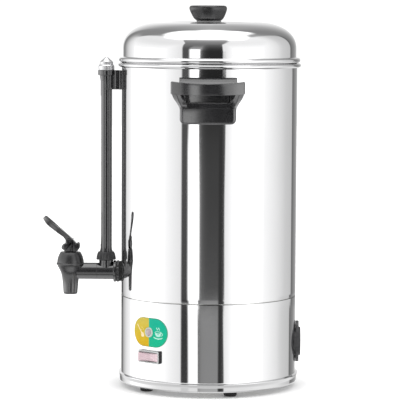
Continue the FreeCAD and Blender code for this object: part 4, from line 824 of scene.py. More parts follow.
def wall_plate(rows):
    """A thin plate up the wall: rows of height, how much wider it is than the neck, and how far out. Below
    the flange it is flattened like the panel."""
    height, half, front = (np.array(rows) + (0, NECK_HALF, 0.4)).T[:, :, None]
    section = round_section(front[:, 0] / 2, half[:, 0], 0.6, 4, 24)
    radius = BODY_RADIUS - 0.4 + front / 2 + section[..., 0]
    below_flange = np.clip((NECK_TOP - height) / 1.7, 0, 1)[..., None]
    flat = flattened(radius, section[..., 1], height, BODY_RADIUS + 0.8, BODY_RADIUS + 3.0)
    return closed(on_drum(radius, section[..., 1], height) * (1 - below_flange) + flat * below_flange)


def moulded_finish(name, colour, roughness, gloss=1.62, peel=0.004):
    """Black injection moulding: a dense skin with faint flow clouds, a little dust, and orange peel."""
    material, shader = new_finish(name, IOR=gloss, Specular_IOR_Level=1.0)
    flow, dust = speckle(shader, 9.0, 5.0, (1.0, 1.0, 0.5)), speckle(shader, 1.1, 2.0)
    lighter = tuple(1.7 * part for part in colour)
    feed(shader, Base_Color=ramp_node(flow, [(0.35, colour), (0.80, lighter)]),
         Roughness=step_node(dust, 0.3, 0.8, roughness, roughness * 1.5))
    raise_by(shader, speckle(shader, 2.4, 1.0), peel)
    return material


satin_plastic = moulded_finish("satin_black_plastic", (0.012, 0.012, 0.013), 0.14)

neck_and_flange = wall_plate([
    (352.0, NECK_EDGE, 3.6), (379.5, NECK_EDGE, 3.6), (NECK_TOP, NECK_EDGE + 0.6, 3.6), (382.2, 8.3, 4.6),
    (382.8, 9.9, 5.8), (383.3, 10.5, 6.3), (383.9, 10.5, 6.4), (384.2, 10.5, 6.2), (384.5, 10.5, 5.95),
    (387.0, 10.5, 3.85), (387.2, 10.5, 3.68), (387.25, 10.4, 3.4), (387.55, 10.4, 3.15), (387.6, 10.5, 3.34),
    (387.8, 10.5, 3.17), (390.9, 10.4, 0.5), (FLANGE_TOP, 10.2, 0.12),
])
# A thin black plate beside the neck: a dark sheet put in the gap between web and neck to stand in for the
# shade there.
shade_filler_plate = wall_plate([(352.0, NECK_EDGE + 3.0, 1.0), (382.0, NECK_EDGE + 3.0, 1.0)])
handle_grids = [handle_grip(), handle_panel(), neck_and_flange, shade_filler_plate, handle_arm(1), handle_arm(-1)]
for side, spin in (("right", 1), ("left", np.array([-1, -1, 1]))):
    grids = [grid * spin for grid in handle_grids]
    fit_piece("handle_" + side, "plastic", satin_plastic, "black_plastic", *grids)
nickel_brass = satin_finish("nickel_brass", (0.72, 0.66, 0.50), (0.60, 0.52, 0.36), 0.30, 0.5)
silicone = satin_finish("seal_silicone", (0.16, 0.16, 0.165), (0.11, 0.11, 0.115), 0.5, 0.3, metallic=0.0)
fit_copies(nickel_brass, "nickel_brass", "handle_inserts", edge=0.15)
fit_copies(plain_steel, "plain_steel", "handle_screws", edge=0.15)
fit_copies(silicone, "seal_silicone", "handle_washers", edge=0.15)


# Tap: a black moulded body with its outlet, a domed bonnet screwed over it, and a lever with a dished
# thumb pad. The lever turns on a steel pin and lifts the stem's seat cup off the outlet.
TAP_Y = -174.0
SHANK_HEIGHT = 143.3
SHANK_RADIUS = 10.4
OUTLET_BOTTOM = 114.2
SEAT_HEIGHT = 136.0
BONNET_BOTTOM = 152.4
BONNET_TOP = 167.5
LEVER_PIN_HEIGHT = 174.4
TEE_START = -140.5
tap_centre = (0, TAP_Y, 0)

gloss_plastic = moulded_finish("gloss_black_plastic", (0.010, 0.010, 0.011), 0.11, peel=0.002)

tap_path = soft_outline([
    (6.4, OUTLET_BOTTOM, 0.3), (8.3, OUTLET_BOTTOM, 0.4), (8.9, 116.0, 0.8), (10.0, 131.0, 5.0),
    (11.6, 140.5, 4.0), (16.4, 149.8, 1.4), (16.9, 151.0, 0.5), (16.9, BONNET_BOTTOM, 0.2),
    (13.4, BONNET_BOTTOM, 0.2), (13.4, 149.6, 0.4), (9.2, 141.0, 0.6), (8.4, SEAT_HEIGHT, 0.3),
    (6.4, SEAT_HEIGHT, 0.2),
])
stub_path = soft_outline([
    (0, TAP_Y + 8.0, 0), (SHANK_RADIUS, TAP_Y + 8.0, 0.1), (SHANK_RADIUS, TEE_START, 0.25), (0, TEE_START, 0),
], closed=False)
tap_grids = [turned(tap_path, tap_centre, turns=144), turned(stub_path, (0, 0, SHANK_HEIGHT), "Y", 144)]
fit_piece("tap_body", "plastic", gloss_plastic, "black_plastic", *tap_grids)

bonnet_path = soft_outline([
    (3.7, -3.0, 0.1), (3.7, 0.3, 0.3), (6.6, 0.3, 0.4), (7.2, -0.5, 0.4), (8.6, -0.3, 0.6), (12.4, -0.2, 0.7),
    (14.6, -3.9, 2.0), (16.4, -9.3, 2.4), (16.9, -13.8, 0.15), (17.8, -14.7, 0.15), (17.8, -16.0, 0.5),
    (17.1, -16.1, 0.1), (17.1, -15.1, 0.1), (14.0, -15.1, 0.2), (12.6, -7.5, 2.0), (10.6, -3.0, 0.4),
], foot=BONNET_TOP)
bonnet_plastic = moulded_finish("bonnet_black_plastic", (0.010, 0.010, 0.011), 0.27, gloss=1.47)
tap_bonnet = turned(bonnet_path, tap_centre, turns=144)
fit_piece("tap_bonnet", "plastic", bonnet_plastic, "black_plastic", tap_bonnet)


def pushed(path, low, high, radius):
    """An outline in Y and Z pushed along X with rounded edges: near each face the outline draws in by
    radius (1 - sin a) along its own normals. Returns the side grid and the two end rings."""
    ring = path[:-1]
    run = np.roll(ring, -1, axis=0) - np.roll(ring, 1, axis=0)
    normal = points(run[:, 1], -run[:, 0]) / np.linalg.norm(run, axis=1, keepdims=True)
    area = np.sum(ring[:, 0] * np.roll(ring[:, 1], -1) - np.roll(ring[:, 0], -1) * ring[:, 1])
    normal *= np.sign(area)
    angle = np.linspace(0, np.pi / 2, 5)
    draw, depth = radius * (1 - np.sin(angle)), radius * (1 - np.cos(angle))
    places = np.concatenate([low + depth, high - depth[::-1]])
    inset = np.concatenate([draw, draw[::-1]])
    around = ring[None] - normal[None] * inset[:, None, None]
    grid = points(places[:, None], around[..., 0], around[..., 1])
    return np.concatenate([grid, grid[:, :1]], axis=1), grid[0], grid[-1]


def cheek_outline():
    """The lever's forked foot from the side: a lobe in front, a knuckle behind, an open notch on top."""
    return soft_outline(np.array([
        (-7.6, -6.4, 0.5), (-7.6, -4.4, 1.0), (-10.9, -2.8, 1.6), (-10.9, 1.4, 2.2), (-7.4, 3.2, 1.0),
        (-5.9, 3.7, 0.6), (-6.0, 8.6, 1.4), (-1.2, 9.6, 1.0), (7.0, 2.6, 0.6), (8.6, 4.9, 1.0),
        (11.2, 4.2, 1.4), (12.2, -1.6, 2.5), (8.2, -6.4, 1.2),
    ]) + (TAP_Y, LEVER_PIN_HEIGHT, 0))


def half_outline(path, split, side):
    """The part of an outline on one side of a sideways place; what lies past it is drawn back to it."""
    across = np.minimum(path[:, 0], split) if side < 0 else np.maximum(path[:, 0], split)
    return apart(points(across, path[:, 1]))


def lever_arm():
    """Sections across the arm, each between a point on its top line and one on its bottom line. A section
    has a thin upright edge and draws in below it, and over the pad its top sinks by
    dish (1 - (x / half)^2)."""
    rows = np.array([
        (8.6, 2.6, 0.2, -2.4, 5.4, 0.0), (3.6, 8.2, -4.4, 3.2, 5.2, 0.0), (-0.1, 11.8, -6.4, 7.8, 5.0, 0.0),
        (-5.2, 16.4, -9.4, 11.8, 5.0, 0.0), (-12.2, 22.4, -15.9, 16.4, 5.4, 0.2),
        (-16.2, 25.6, -19.6, 19.4, 6.7, 0.8), (-20.2, 28.8, -23.4, 22.4, 8.4, 1.8),
        (-24.0, 32.0, -27.2, 25.6, 9.6, 2.5), (-27.4, 34.9, -30.4, 28.8, 9.5, 2.4),
        (-29.8, 37.0, -32.6, 31.9, 7.8, 1.6), (-31.6, 38.2, -34.2, 34.4, 5.4, 0.7),
        (-32.6, 37.6, -34.5, 35.6, 2.6, 0.1),
    ])
    along = np.linspace(0, len(rows) - 1, 56)
    index = np.minimum(along.astype(int), len(rows) - 2)
    share = (along - index)[:, None]
    padded = np.vstack([2 * rows[0] - rows[1], rows, 2 * rows[-1] - rows[-2]])
    before, start, end, after = [padded[index + step] for step in range(4)]
    rows = 0.5 * (2 * start + (end - before) * share + (2 * before - 5 * start + 4 * end - after) * share ** 2
                  + (3 * start - before - 3 * end + after) * share ** 3)
    top, bottom, half, dish = rows[:, 0:2], rows[:, 2:4], rows[:, 4:5], rows[:, 5:6]
    thick = np.linalg.norm(top - bottom, axis=1, keepdims=True)
    rim = np.minimum(1.7, 0.4 * thick)
    corners = [(half, thick / 2), (half, thick / 2 - rim), (0.62 * half, -thick / 2)]
    corners += [(-across, up) for across, up in corners[::-1]]
    corners = np.concatenate([points(*pair) for pair in corners], axis=1)
    cut = np.array([0.35, 0.8, 1.2, 1.2, 0.8, 0.35]) * np.minimum(half / 5.4, 1.0)
    section = filled(rounded(corners, cut[..., None], 5), 5, 10)
    across, lift = section[..., 0], section[..., 1] / thick + 0.5
    sunk = np.clip(lift * 2 - 1, 0, 1) * dish * np.clip(1 - (across / half) ** 2, 0, 1)
    lift = (lift - sunk / thick)[..., None]
    line = bottom[:, None] + (top - bottom)[:, None] * lift + (TAP_Y, LEVER_PIN_HEIGHT)
    return closed(points(across, line[..., 0], line[..., 1]))


lever_grids, lever_caps = [lever_arm()], []
cheek = cheek_outline()
cheek_layers = [
    (cheek, 3.6, 7.2, 0.3), (half_outline(cheek, TAP_Y + 0.4, -1), 7.0, 8.0, 0.5),
    (half_outline(cheek, TAP_Y + 2.8, 1), 7.0, 8.0, 0.5),
]
for side in (-1, 1):
    for outline, near, far, radius in cheek_layers:
        grid, *ends = pushed(outline, *sorted((side * near, side * far)), radius)
        lever_grids.append(grid)
        lever_caps += ends
fit_piece("tap_lever", "plastic", gloss_plastic, "black_plastic", *lever_grids, body="lever", caps=lever_caps)
pin_steel = polished_finish("pin_steel", (0.10, 0.10, 0.10), 0.30, 0.10, 0.002)
fit_copies(pin_steel, "plain_steel", "lever_pin", body="lever")
fit_copies(plain_steel, "plain_steel", "tap_stem", body="stem", edge=0.3)
fit_copies(silicone, "seal_silicone", "seat_cup", body="stem")
tap_spring = fit_copies(plain_steel, "plain_steel", "tap_spring", edge=0)
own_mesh(tap_spring)


# Shank and sight gauge: a black tee clamped through the wall by a ribbed nut, with a glass tube standing
# in it under a slotted black guard. A gland nut seals the foot, and a bracket and a bright cap the head.
GAUGE_Y = -129.0
FLANGE_START = -119.5
NUT_START = -116.5
SEAL_START = -111.8
THREAD_RADIUS = 9.0
GLASS_RADIUS = 5.2
GUARD_RADIUS = 7.2
GAUGE_NUT_BOTTOM = 158.0
GAUGE_NUT_TOP = 168.0
BRACKET_BOTTOM = 372.4
BRACKET_TOP = 396.4
gauge_centre = (0, GAUGE_Y, 0)
shank_centre = (0, 0, SHANK_HEIGHT)

run_path = soft_outline([
    (0, TEE_START, 0), (SHANK_RADIUS, TEE_START, 0.25), (SHANK_RADIUS, FLANGE_START, 0.5),
    (13.7, FLANGE_START, 0.6), (13.7, NUT_START, 0.5), (THREAD_RADIUS, NUT_START, 0.3),
    (THREAD_RADIUS, -99.5, 0.6), (7.2, -99.5, 0.3), (7.2, -119.0, 0.3), (0, -119.0, 0),
], closed=False)
neck_path = soft_outline([
    (0, SHANK_HEIGHT, 0), (9.2, SHANK_HEIGHT, 0.2), (9.3, 150.0, 2.0), (9.0, GAUGE_NUT_BOTTOM - 0.4, 0.4),
    (0, GAUGE_NUT_BOTTOM - 0.4, 0),
], closed=False)
shank_grids = [turned(run_path, shank_centre, "Y", 144), turned(neck_path, gauge_centre, turns=144)]
fit_piece("gauge_shank", "plastic", gloss_plastic, "black_plastic", *shank_grids)

ribbed_plastic = moulded_finish("ribbed_black_plastic", (0.012, 0.012, 0.013), 0.30, gloss=1.44, peel=0.001)
nut_path = soft_outline([
    (THREAD_RADIUS, NUT_START, 0.1), (12.2, NUT_START, 0.5), (13.5, NUT_START + 1.1, 0.5),
    (13.5, SEAL_START - 0.9, 0.5), (12.6, SEAL_START, 0.4), (THREAD_RADIUS, SEAL_START, 0.1),
])
shank_nut = turned(nut_path, shank_centre, "Y", 360, ribs=18, rib_depth=0.7)
fit_piece("shank_nut", "plastic", ribbed_plastic, "black_plastic", shank_nut)

gland_path = soft_outline([
    (GLASS_RADIUS + 0.3, -2.4, 0.1), (GLASS_RADIUS + 0.3, 0, 0.2), (10.0, 0, 0.6), (11.4, -3.2, 1.6),
    (12.4, -8.0, 0.8), (12.3, -10.0, 0.6), (8.2, -10.0, 0.2), (8.2, -2.4, 0.2),
], foot=GAUGE_NUT_TOP)
gauge_nut = turned(gland_path, gauge_centre, turns=360, ribs=24, rib_depth=0.55)
fit_piece("gauge_nut", "plastic", ribbed_plastic, "black_plastic", gauge_nut)

fit_copies(black_rubber, "black_rubber", "shank_seals")
fit_copies(silicone, "seal_silicone", "gauge_seals")
fit_copies(plain_steel, "plain_steel", "shank_inner_nut", edge=0.3)


def slotted_guard():
    """The guard's outer and inner skins over height and angle, open in front between two edges. The
    slot's half angle is asin(half / radius), where half is its width, drawn in round at both ends."""
    half_slot, low_slot, high_slot = 3.0, 177.0, 365.4
    t = half_slot * (1 - np.cos(np.linspace(0, np.pi / 2, 9)))
    straight = np.linspace(low_slot + half_slot, high_slot - half_slot, 40)[1:-1]
    slot_rows = np.concatenate([low_slot + t, straight, high_slot - t[::-1]])
    flare = [(168.0, 8.0), (168.3, 8.2), (169.2, 8.1), (170.4, 7.65), (171.8, 7.35), (173.4, GUARD_RADIUS),
             (175.0, GUARD_RADIUS), (low_slot, GUARD_RADIUS)]
    foot_rows = np.array([row for row, radius in flare])
    head_rows = np.array([high_slot, 375.0, 390.0, BRACKET_TOP])
    skins = []
    for rows in (foot_rows, slot_rows, head_rows):
        end = np.minimum(np.maximum(rows - low_slot, 0), np.maximum(high_slot - rows, 0))
        half = np.sqrt(np.maximum(half_slot ** 2 - np.clip(half_slot - end, 0, half_slot) ** 2, 0))
        walls = []
        for radius in (np.interp(rows, *zip(*flare)), np.full(len(rows), GLASS_RADIUS + 0.6)):
            gap = np.arcsin(np.clip(half / radius, 0, 1))[:, None]
            angle = -np.pi / 2 + gap + np.linspace(0, 1, 97) * (2 * np.pi - 2 * gap)
            radius = radius[:, None]
            walls.append(points(radius * np.cos(angle), radius * np.sin(angle) + GAUGE_Y, rows[:, None]))
        outer, inner = walls
        skins += walls
        if rows is slot_rows:
            skins += [np.stack([outer[:, edge], inner[:, edge]], axis=1) for edge in (0, -1)]
        else:
            edge = 0 if rows is foot_rows else -1
            skins.append(np.stack([outer[edge], inner[edge]]))
    return skins


fit_piece("gauge_guard", "plastic", gloss_plastic, "black_plastic", *slotted_guard())


def glass_finish():
    """Clear borosilicate tube: colourless, with a faint film of coffee towards the foot."""
    material, shader = new_finish("gauge_glass", Transmission_Weight=1.0, IOR=1.47, Roughness=0.03)
    low = step_node(own_parts(shader)["Z"], 0.15, 0.34, 0.5, 0.0)
    stain = times(low, speckle(shader, 4.0))
    feed(shader, Base_Color=mix_node(stain, (0.97, 0.98, 0.97, 1), (0.62, 0.46, 0.28, 1)))
    return material


glass_path = soft_outline([
    (GLASS_RADIUS - 1.3, SHANK_HEIGHT + 5.0, 0.3), (GLASS_RADIUS, SHANK_HEIGHT + 5.0, 0.3),
    (GLASS_RADIUS, BRACKET_TOP + 3.6, 0.3), (GLASS_RADIUS - 1.3, BRACKET_TOP + 3.6, 0.3),
])
fit_piece("sight_glass", "tube", glass_finish(), "gauge_glass", turned(glass_path, gauge_centre, turns=96))

RIB_Y = -116.6
bracket_middle, bracket_half = (BRACKET_TOP + BRACKET_BOTTOM) / 2, (BRACKET_TOP - BRACKET_BOTTOM) / 2


def bracket_collar():
    """A strip bent half way round the guard: at each angle the same rounded section."""
    section = round_section(1.05, bracket_half, 0.5, 4)[0]
    angle = np.radians(np.linspace(-16, 196, 73))[:, None]
    radius = GUARD_RADIUS + 1.05 + section[:, 0]
    ring = points(radius * np.cos(angle), radius * np.sin(angle), section[:, 1])
    return closed(ring + (0, GAUGE_Y, bracket_middle))


def bracket_bar():
    """A bar with rounded edges, its level sections one above the other."""
    places, draw = eased_ends(2 * bracket_half, 0.5, 4, 6)
    section = round_section(3.5 - draw, 5.2 - draw, 0.5, 4)
    return closed(points(section[..., 0], section[..., 1] - 117.2, BRACKET_BOTTOM + places[:, None]))


def bracket_pad():
    """A plate that lies on the wall; the sections stand along it and follow the drum."""
    places, draw = eased_ends(20.0, 0.8, 4, 10)
    section = round_section(1.5 - draw, bracket_half - draw, 0.7, 4, 4)
    radius = BODY_RADIUS + 1.5 + section[..., 0]
    pad = on_drum(radius, (places - 10)[:, None], bracket_middle + section[..., 1])
    return closed(pad[..., [1, 0, 2]] * (1, -1, 1))


bracket_head = soft_outline([
    (GUARD_RADIUS - 0.6, -13.0, 0.2), (GUARD_RADIUS + 0.2, -13.0, 0.1), (8.4, -6.2, 0.2), (10.2, -6.2, 0.3),
    (10.5, -5.8, 0.2), (10.5, 0, 0.3), (GUARD_RADIUS - 0.6, 0, 0.2),
], foot=BRACKET_TOP)
rib_path = soft_outline([
    (0, -2 * bracket_half, 0), (4.9, -2 * bracket_half, 0.6), (4.9, 0, 0.6), (0, 0, 0),
], closed=False, foot=BRACKET_TOP)
bracket_grids = [bracket_collar(), turned(bracket_head, gauge_centre, turns=96),
                 turned(rib_path, (0, RIB_Y, 0), turns=64), bracket_bar(), bracket_pad()]
fit_piece("gauge_bracket", "plastic", gloss_plastic, "black_plastic", *bracket_grids)
fit_copies(plain_steel, "plain_steel", "bracket_screw")

bright_cap = polished_finish("bright_cap", (0.70, 0.70, 0.71), 0.32, 0.10, 0.002)
cap_path = soft_outline([
    (0, 6.0, 0), (6.6, 6.0, 0.3), (8.2, 4.4, 0.3), (8.2, 0, 0.2), (9.7, 0, 0.3), (10.0, 0.7, 0.3),
    (9.9, 5.6, 0.6), (8.6, 6.9, 0.5), (8.4, 7.8, 0.3), (8.3, 10.6, 0.5), (7.3, 11.3, 0.5),
    (1.6, 16.2, 0.6), (0, 16.7, 0),
], closed=False, foot=BRACKET_TOP)
fit_piece("gauge_cap", "steel", bright_cap, "bright_cap", turned(cap_path, gauge_centre, turns=144))


# Indicator plate: a printed strip of aluminium bent to the drum and stuck on, yellow on one half and
# green on the other, each with a plain mark: a scoop for brewing and a cup for ready.
PLATE_AZIMUTH = -40.4
PLATE_HEIGHT = 77.4
PLATE_SIZE = (55.4, 36.2)
PLATE_THICK = 0.5
LAMP_HOLE = 4.6


def turned_to(azimuth, grid):
    """Turns points of the +X side round the urn's axis to a bearing in degrees."""
    angle = math.radians(azimuth)
    x, y, z = np.moveaxis(grid, -1, 0)
    ahead, aside = x * math.cos(angle) - y * math.sin(angle), x * math.sin(angle) + y * math.cos(angle)
    return points(ahead, aside, z)


def on_plate(radius, across, up):
    """Points on the bent plate, at a sideways place and a height from its middle."""
    return turned_to(PLATE_AZIMUTH, on_drum(radius, across, PLATE_HEIGHT + up))


def indicator_plate():
    """Rows run from the lamp's hole out to the stadium's edge and back behind: a mix of the two outlines."""
    angle = np.linspace(0, 2 * np.pi, 181)
    end, flat = PLATE_SIZE[1] / 2, (PLATE_SIZE[0] - PLATE_SIZE[1]) / 2
    cosine, sine = np.abs(np.cos(angle)), np.abs(np.sin(angle))
    on_flat = sine * flat > end * np.maximum(cosine, 1e-9)
    reach_flat = end / np.maximum(sine, 1e-9)
    reach_end = flat * cosine + np.sqrt(np.maximum(end ** 2 - flat ** 2 * (1 - cosine ** 2), 0))
    edge = np.where(on_flat, reach_flat, reach_end)
    shares = np.concatenate([np.linspace(0, 1, 26), [1.0, 1.0, 0.0]])[:, None]
    draw = np.concatenate([[0.0] * 25, [0.25, 0.0, 0.0, 0.0]])[:, None]
    radius = BODY_RADIUS + np.array([PLATE_THICK] * 26 + [PLATE_THICK - 0.2, 0.02, 0.02])[:, None]
    reach = LAMP_HOLE + shares * (edge - LAMP_HOLE) - draw
    grid = on_plate(radius, reach * np.cos(angle), reach * np.sin(angle))
    return np.concatenate([grid, grid[:1]])


def mark(path, widths, lift=0.07):
    """A printed stroke: along a path, the width changes; it stands a hair above the plate. The path and
    widths are evened out to 40 places, and each section is a thin flat loop."""
    path, widths = np.array(path, float), np.array(widths, float)
    place = np.linspace(0, len(path) - 1, 40)
    line = np.stack([np.interp(place, np.arange(len(path)), path[:, axis]) for axis in (0, 1)], axis=-1)
    half = np.interp(place, np.arange(len(widths)) * (len(path) - 1) / (len(widths) - 1), widths) / 2
    run = np.gradient(line, axis=0)
    normal = points(-run[:, 1], run[:, 0]) / np.linalg.norm(run, axis=1, keepdims=True)
    sides = np.stack([line + normal * half[:, None], line - normal * half[:, None]], axis=1)
    loop = sides[:, [0, 1, 1, 0, 0]]
    radius = BODY_RADIUS + PLATE_THICK + np.array([lift, lift, -0.05, -0.05, lift])
    return closed(on_plate(radius, loop[..., 0], loop[..., 1]))


def wave(across, low, high, swing):
    """An upright wavy line: across + swing sin(2 pi t)."""
    t = np.linspace(0, 1, 40)
    return points(across + swing * np.sin(2 * np.pi * t), low + (high - low) * t)


def cup_marks():
    """A cup with an open rim, its handle, its saucer and two curls of steam."""
    bowl = [(14.4, -0.3), (14.4, -1.2), (14.4, -2.9), (14.4, -4.0), (14.4, -4.6)]
    saucer = [(7.6, -5.0), (9.8, -6.3), (14.4, -7.0), (19.0, -6.3), (21.2, -5.0)]
    steam = [mark(wave(place, 3.4, 7.2, 0.7), [0.4, 1.1, 1.1, 0.4]) for place in (12.9, 15.9)]
    return [
        mark(arc((14.4, 0.8), (4.6, 1.2), 90, 450), [0.7, 0.7], 0.070),
        mark(bowl, [8.8, 8.4, 7.0, 5.0, 2.4], 0.075),
        mark(arc((18.6, -1.2), (2.1, 1.8), 110, -110), [0.8, 0.8], 0.080),
        mark(saucer, [0.5, 1.3, 1.5, 1.3, 0.5], 0.085), *steam,
    ]


def scoop_marks():
    """A coffee scoop lying aslant: a long stem that widens into a round bowl, and three grains."""
    stem = mark([(-20.6, 8.4), (-16.0, 2.6), (-12.6, -1.6)], [1.4, 1.2, 1.8], 0.075)
    bowl = [(-13.0, -1.2), (-12.2, -2.2), (-11.0, -3.7), (-9.8, -5.2), (-9.0, -6.2)]
    grains = [(-12.6, 5.2), (-10.2, 3.2), (-13.4, 2.2)]
    grains = [mark([(x, y), (x + 0.9, y - 0.2)], [1.0, 1.0]) for x, y in grains]
    return [stem, mark(bowl, [1.2, 4.6, 6.2, 4.6, 0.6]), *grains]


def print_finish():
    """Screen print in two colours under clear lacquer: each half is a little deeper towards its foot,
    the colours meet at the lamp, and the rim is darker where the print ends short of the edge."""
    coat = {"Coat_Weight": 0.06, "Coat_Roughness": 0.15}
    material, shader = new_finish("plate_print", Roughness=0.38, Specular_IOR_Level=0.12, **coat)
    place = node("TexCoord", tree=shader.id_data).outputs["Object"]
    turn_back = (0, 0, -math.radians(PLATE_AZIMUTH))
    spots = node("SeparateXYZ", (0, node("Mapping", (0, place), ("Rotation", turn_back)).outputs[0])).outputs
    height = minus(spots["Z"], PLATE_HEIGHT * MM)
    shade = plus(times(step_node(height, -0.016, 0.016), 0.75), times(speckle(shader, 7.0, 4.0), 0.35))
    yellow = [(0.15, (0.62, 0.39, 0.001)), (0.55, (0.58, 0.42, 0.015)), (1.0, (0.57, 0.46, 0.07))]
    green = [(0.2, (0.0005, 0.44, 0.24)), (0.9, (0.001, 0.40, 0.26))]
    green_side = step_node(spots["Y"], -0.0004, 0.0004)
    ink = mix_node(green_side, ramp_node(shade, yellow), ramp_node(shade, green))
    flat, end = (PLATE_SIZE[0] - PLATE_SIZE[1]) / 2, PLATE_SIZE[1] / 2
    over = math_node("MAXIMUM", minus(math_node("ABSOLUTE", spots["Y"]), flat * MM), 0.0)
    reach = hypotenuse(over, math_node("ABSOLUTE", height))
    rim = step_node(reach, (end - 1.6) * MM, (end - 0.3) * MM, 0.0, 0.45)
    feed(shader, Base_Color=mix_node(rim, ink, (0.10, 0.20, 0.13, 1)))
    raise_by(shader, speckle(shader, 0.8), 0.004)
    return material


def ink_finish(name, colour, thin):
    """A light second ink, patchy where the mesh of the screen let less through."""
    material, shader = new_finish(name, Roughness=0.4)
    feed(shader, Base_Color=ramp_node(speckle(shader, 1.2, 4.0), [(0.30, thin), (0.62, colour)]))
    return material


fit_piece("control_plate", "print", print_finish(), "plate_print", indicator_plate())
green_ink = ink_finish("pale_green_ink", (0.52, 0.80, 0.70), (0.25, 0.66, 0.52))
fit(piece("cup_mark", *cup_marks()), green_ink, "urn", "plate_print")
yellow_ink = ink_finish("pale_yellow_ink", (0.80, 0.66, 0.42), (0.76, 0.58, 0.20))
fit(piece("scoop_mark", *scoop_marks()), yellow_ink, "urn", "plate_print")


# Pilot lamp: a clipped-in neon lamp with a pale clear bezel and a smoky pink lens, in the middle of the
# plate. It glows only when the urn is on, so here it is dull.
LAMP_RADIUS = 4.7
LAMP_BODY = 4.5
LAMP_BEZEL = 6.4
LAMP_FRONT = BODY_RADIUS + 0.5
LAMP_BACK = 88.0 - LAMP_FRONT


def lamp_turned(path):
    """Revolves a path of radius and depth about the lamp's own axis, which points out from the drum."""
    return turned_to(PLATE_AZIMUTH, turned(path, (0, 0, PLATE_HEIGHT), "X", 96))


def clear_finish(name, colour, deep, through, roughness, grain=2.0):
    """Tinted clear moulding: part of the light goes through, the tint is cloudy, the skin is glossy."""
    material, shader = new_finish(name, Transmission_Weight=through, IOR=1.49, Roughness=roughness)
    feed(shader, Base_Color=ramp_node(speckle(shader, grain, 4.0), [(0.32, deep), (0.68, colour)]))
    raise_by(shader, speckle(shader, 1.0), 0.01)
    return material


bezel_path = soft_outline([
    (0, -3.0, 0), (LAMP_RADIUS - 0.5, -3.0, 0.1), (LAMP_RADIUS - 0.5, 0.9, 0.3), (5.4, 1.15, 0.3),
    (6.05, 0.9, 0.4), (LAMP_BEZEL, 0.1, 0.2), (LAMP_BEZEL, -0.1, 0.05), (LAMP_BODY, -0.1, 0.1),
    (LAMP_BODY, LAMP_BACK, 0.4), (0, LAMP_BACK, 0),
], closed=False, foot=LAMP_FRONT)
lens_path = soft_outline([
    (0, -2.8, 0), (LAMP_RADIUS - 0.55, -2.8, 0.2), (LAMP_RADIUS - 0.55, 1.1, 0.5), (2.6, 1.9, 1.2),
    (0, 2.25, 0),
], closed=False, foot=LAMP_FRONT)
lamp_bezel = clear_finish("lamp_bezel", (0.62, 0.68, 0.61), (0.50, 0.57, 0.50), 0.15, 0.12)
lamp_lens = clear_finish("lamp_lens", (0.56, 0.48, 0.50), (0.46, 0.37, 0.40), 0.20, 0.22, 1.2)
fit(piece("pilot_bezel_clear", lamp_turned(bezel_path)), lamp_bezel, "urn", "lamp_bezel", "pilot_lamp_bezel")
fit(piece("pilot_lens_pink", lamp_turned(lens_path)), lamp_lens, "urn", "lamp_lens", "pilot_lamp_lens")


# Rocker switch: a snap-in housing with a pale frame, and a translucent pink rocker that tips on a pin.
# One end of the rocker stands out while the other is pressed in; three blades take the wires behind.
SWITCH_AZIMUTH = -39.6
SWITCH_HEIGHT = 47.4
SWITCH_SIZE = (33.4, 15.6)
SWITCH_BODY = (30.4, 12.8)
SWITCH_FRONT = 113.8
SWITCH_BACK = 85.0
ROCKER_TILT = 10.0
ROCKER_AXIS = 107.4
ROCKER_FACE = 113.6


def at_switch(depth, across, up):
    """Points at a distance from the urn's axis and a place across and up from the switch's middle."""
    return turned_to(SWITCH_AZIMUTH, points(depth, across, up + SWITCH_HEIGHT))


def switch_frame():
    """Level rounded rectangles from the opening's floor forward, over the rim, back along the drum, and
    down the body: half widths and depths come from a table, and the rim's back lies on the drum."""
    wide, high = SWITCH_SIZE[0] / 2, SWITCH_SIZE[1] / 2
    waist = (wide - SWITCH_BODY[0] / 2, high - SWITCH_BODY[1] / 2)
    rows = np.array([
        (98.8, 1.5, 2.35, 0), (112.8, 1.5, 2.35, 0), (113.4, 1.4, 2.25, 0), (SWITCH_FRONT, 1.1, 1.8, 0),
        (SWITCH_FRONT, 0.7, 1.0, 0), (113.6, 0.35, 0.35, 0), (113.2, 0.08, 0.08, 0), (112.6, 0, 0, 0),
        (111.2, 0, 0, 0), (0.3, 0, 0, 1), (0.05, 0.15, 0.15, 1), (0.05, *waist, 1), (105.0, *waist, 0),
        (SWITCH_BACK + 0.6, *waist, 0), (SWITCH_BACK, 2.2, 2.1, 0),
    ])
    depth, inset_wide, inset_high, on_wall = rows.T[:, :, None]
    section = round_section(wide - inset_wide[:, 0], high - inset_high[:, 0], 1.6, 8, 8)
    across, up = section[..., 0], section[..., 1]
    depth = depth + on_wall * np.sqrt(BODY_RADIUS ** 2 - across ** 2)
    return closed(at_switch(depth, across, up))


def blade(place):
    """A flat blade behind the switch: sections along its depth, with a tapered tip."""
    section = round_section(np.array([0.15, 0.3, 0.4, 0.4]), np.array([1.6, 2.2, 2.4, 2.4]), 0.1, 3)
    depth = np.array([77.5, 78.1, 79.2, 85.4])[:, None]
    return closed(at_switch(depth, section[..., 0] + place, section[..., 1]))


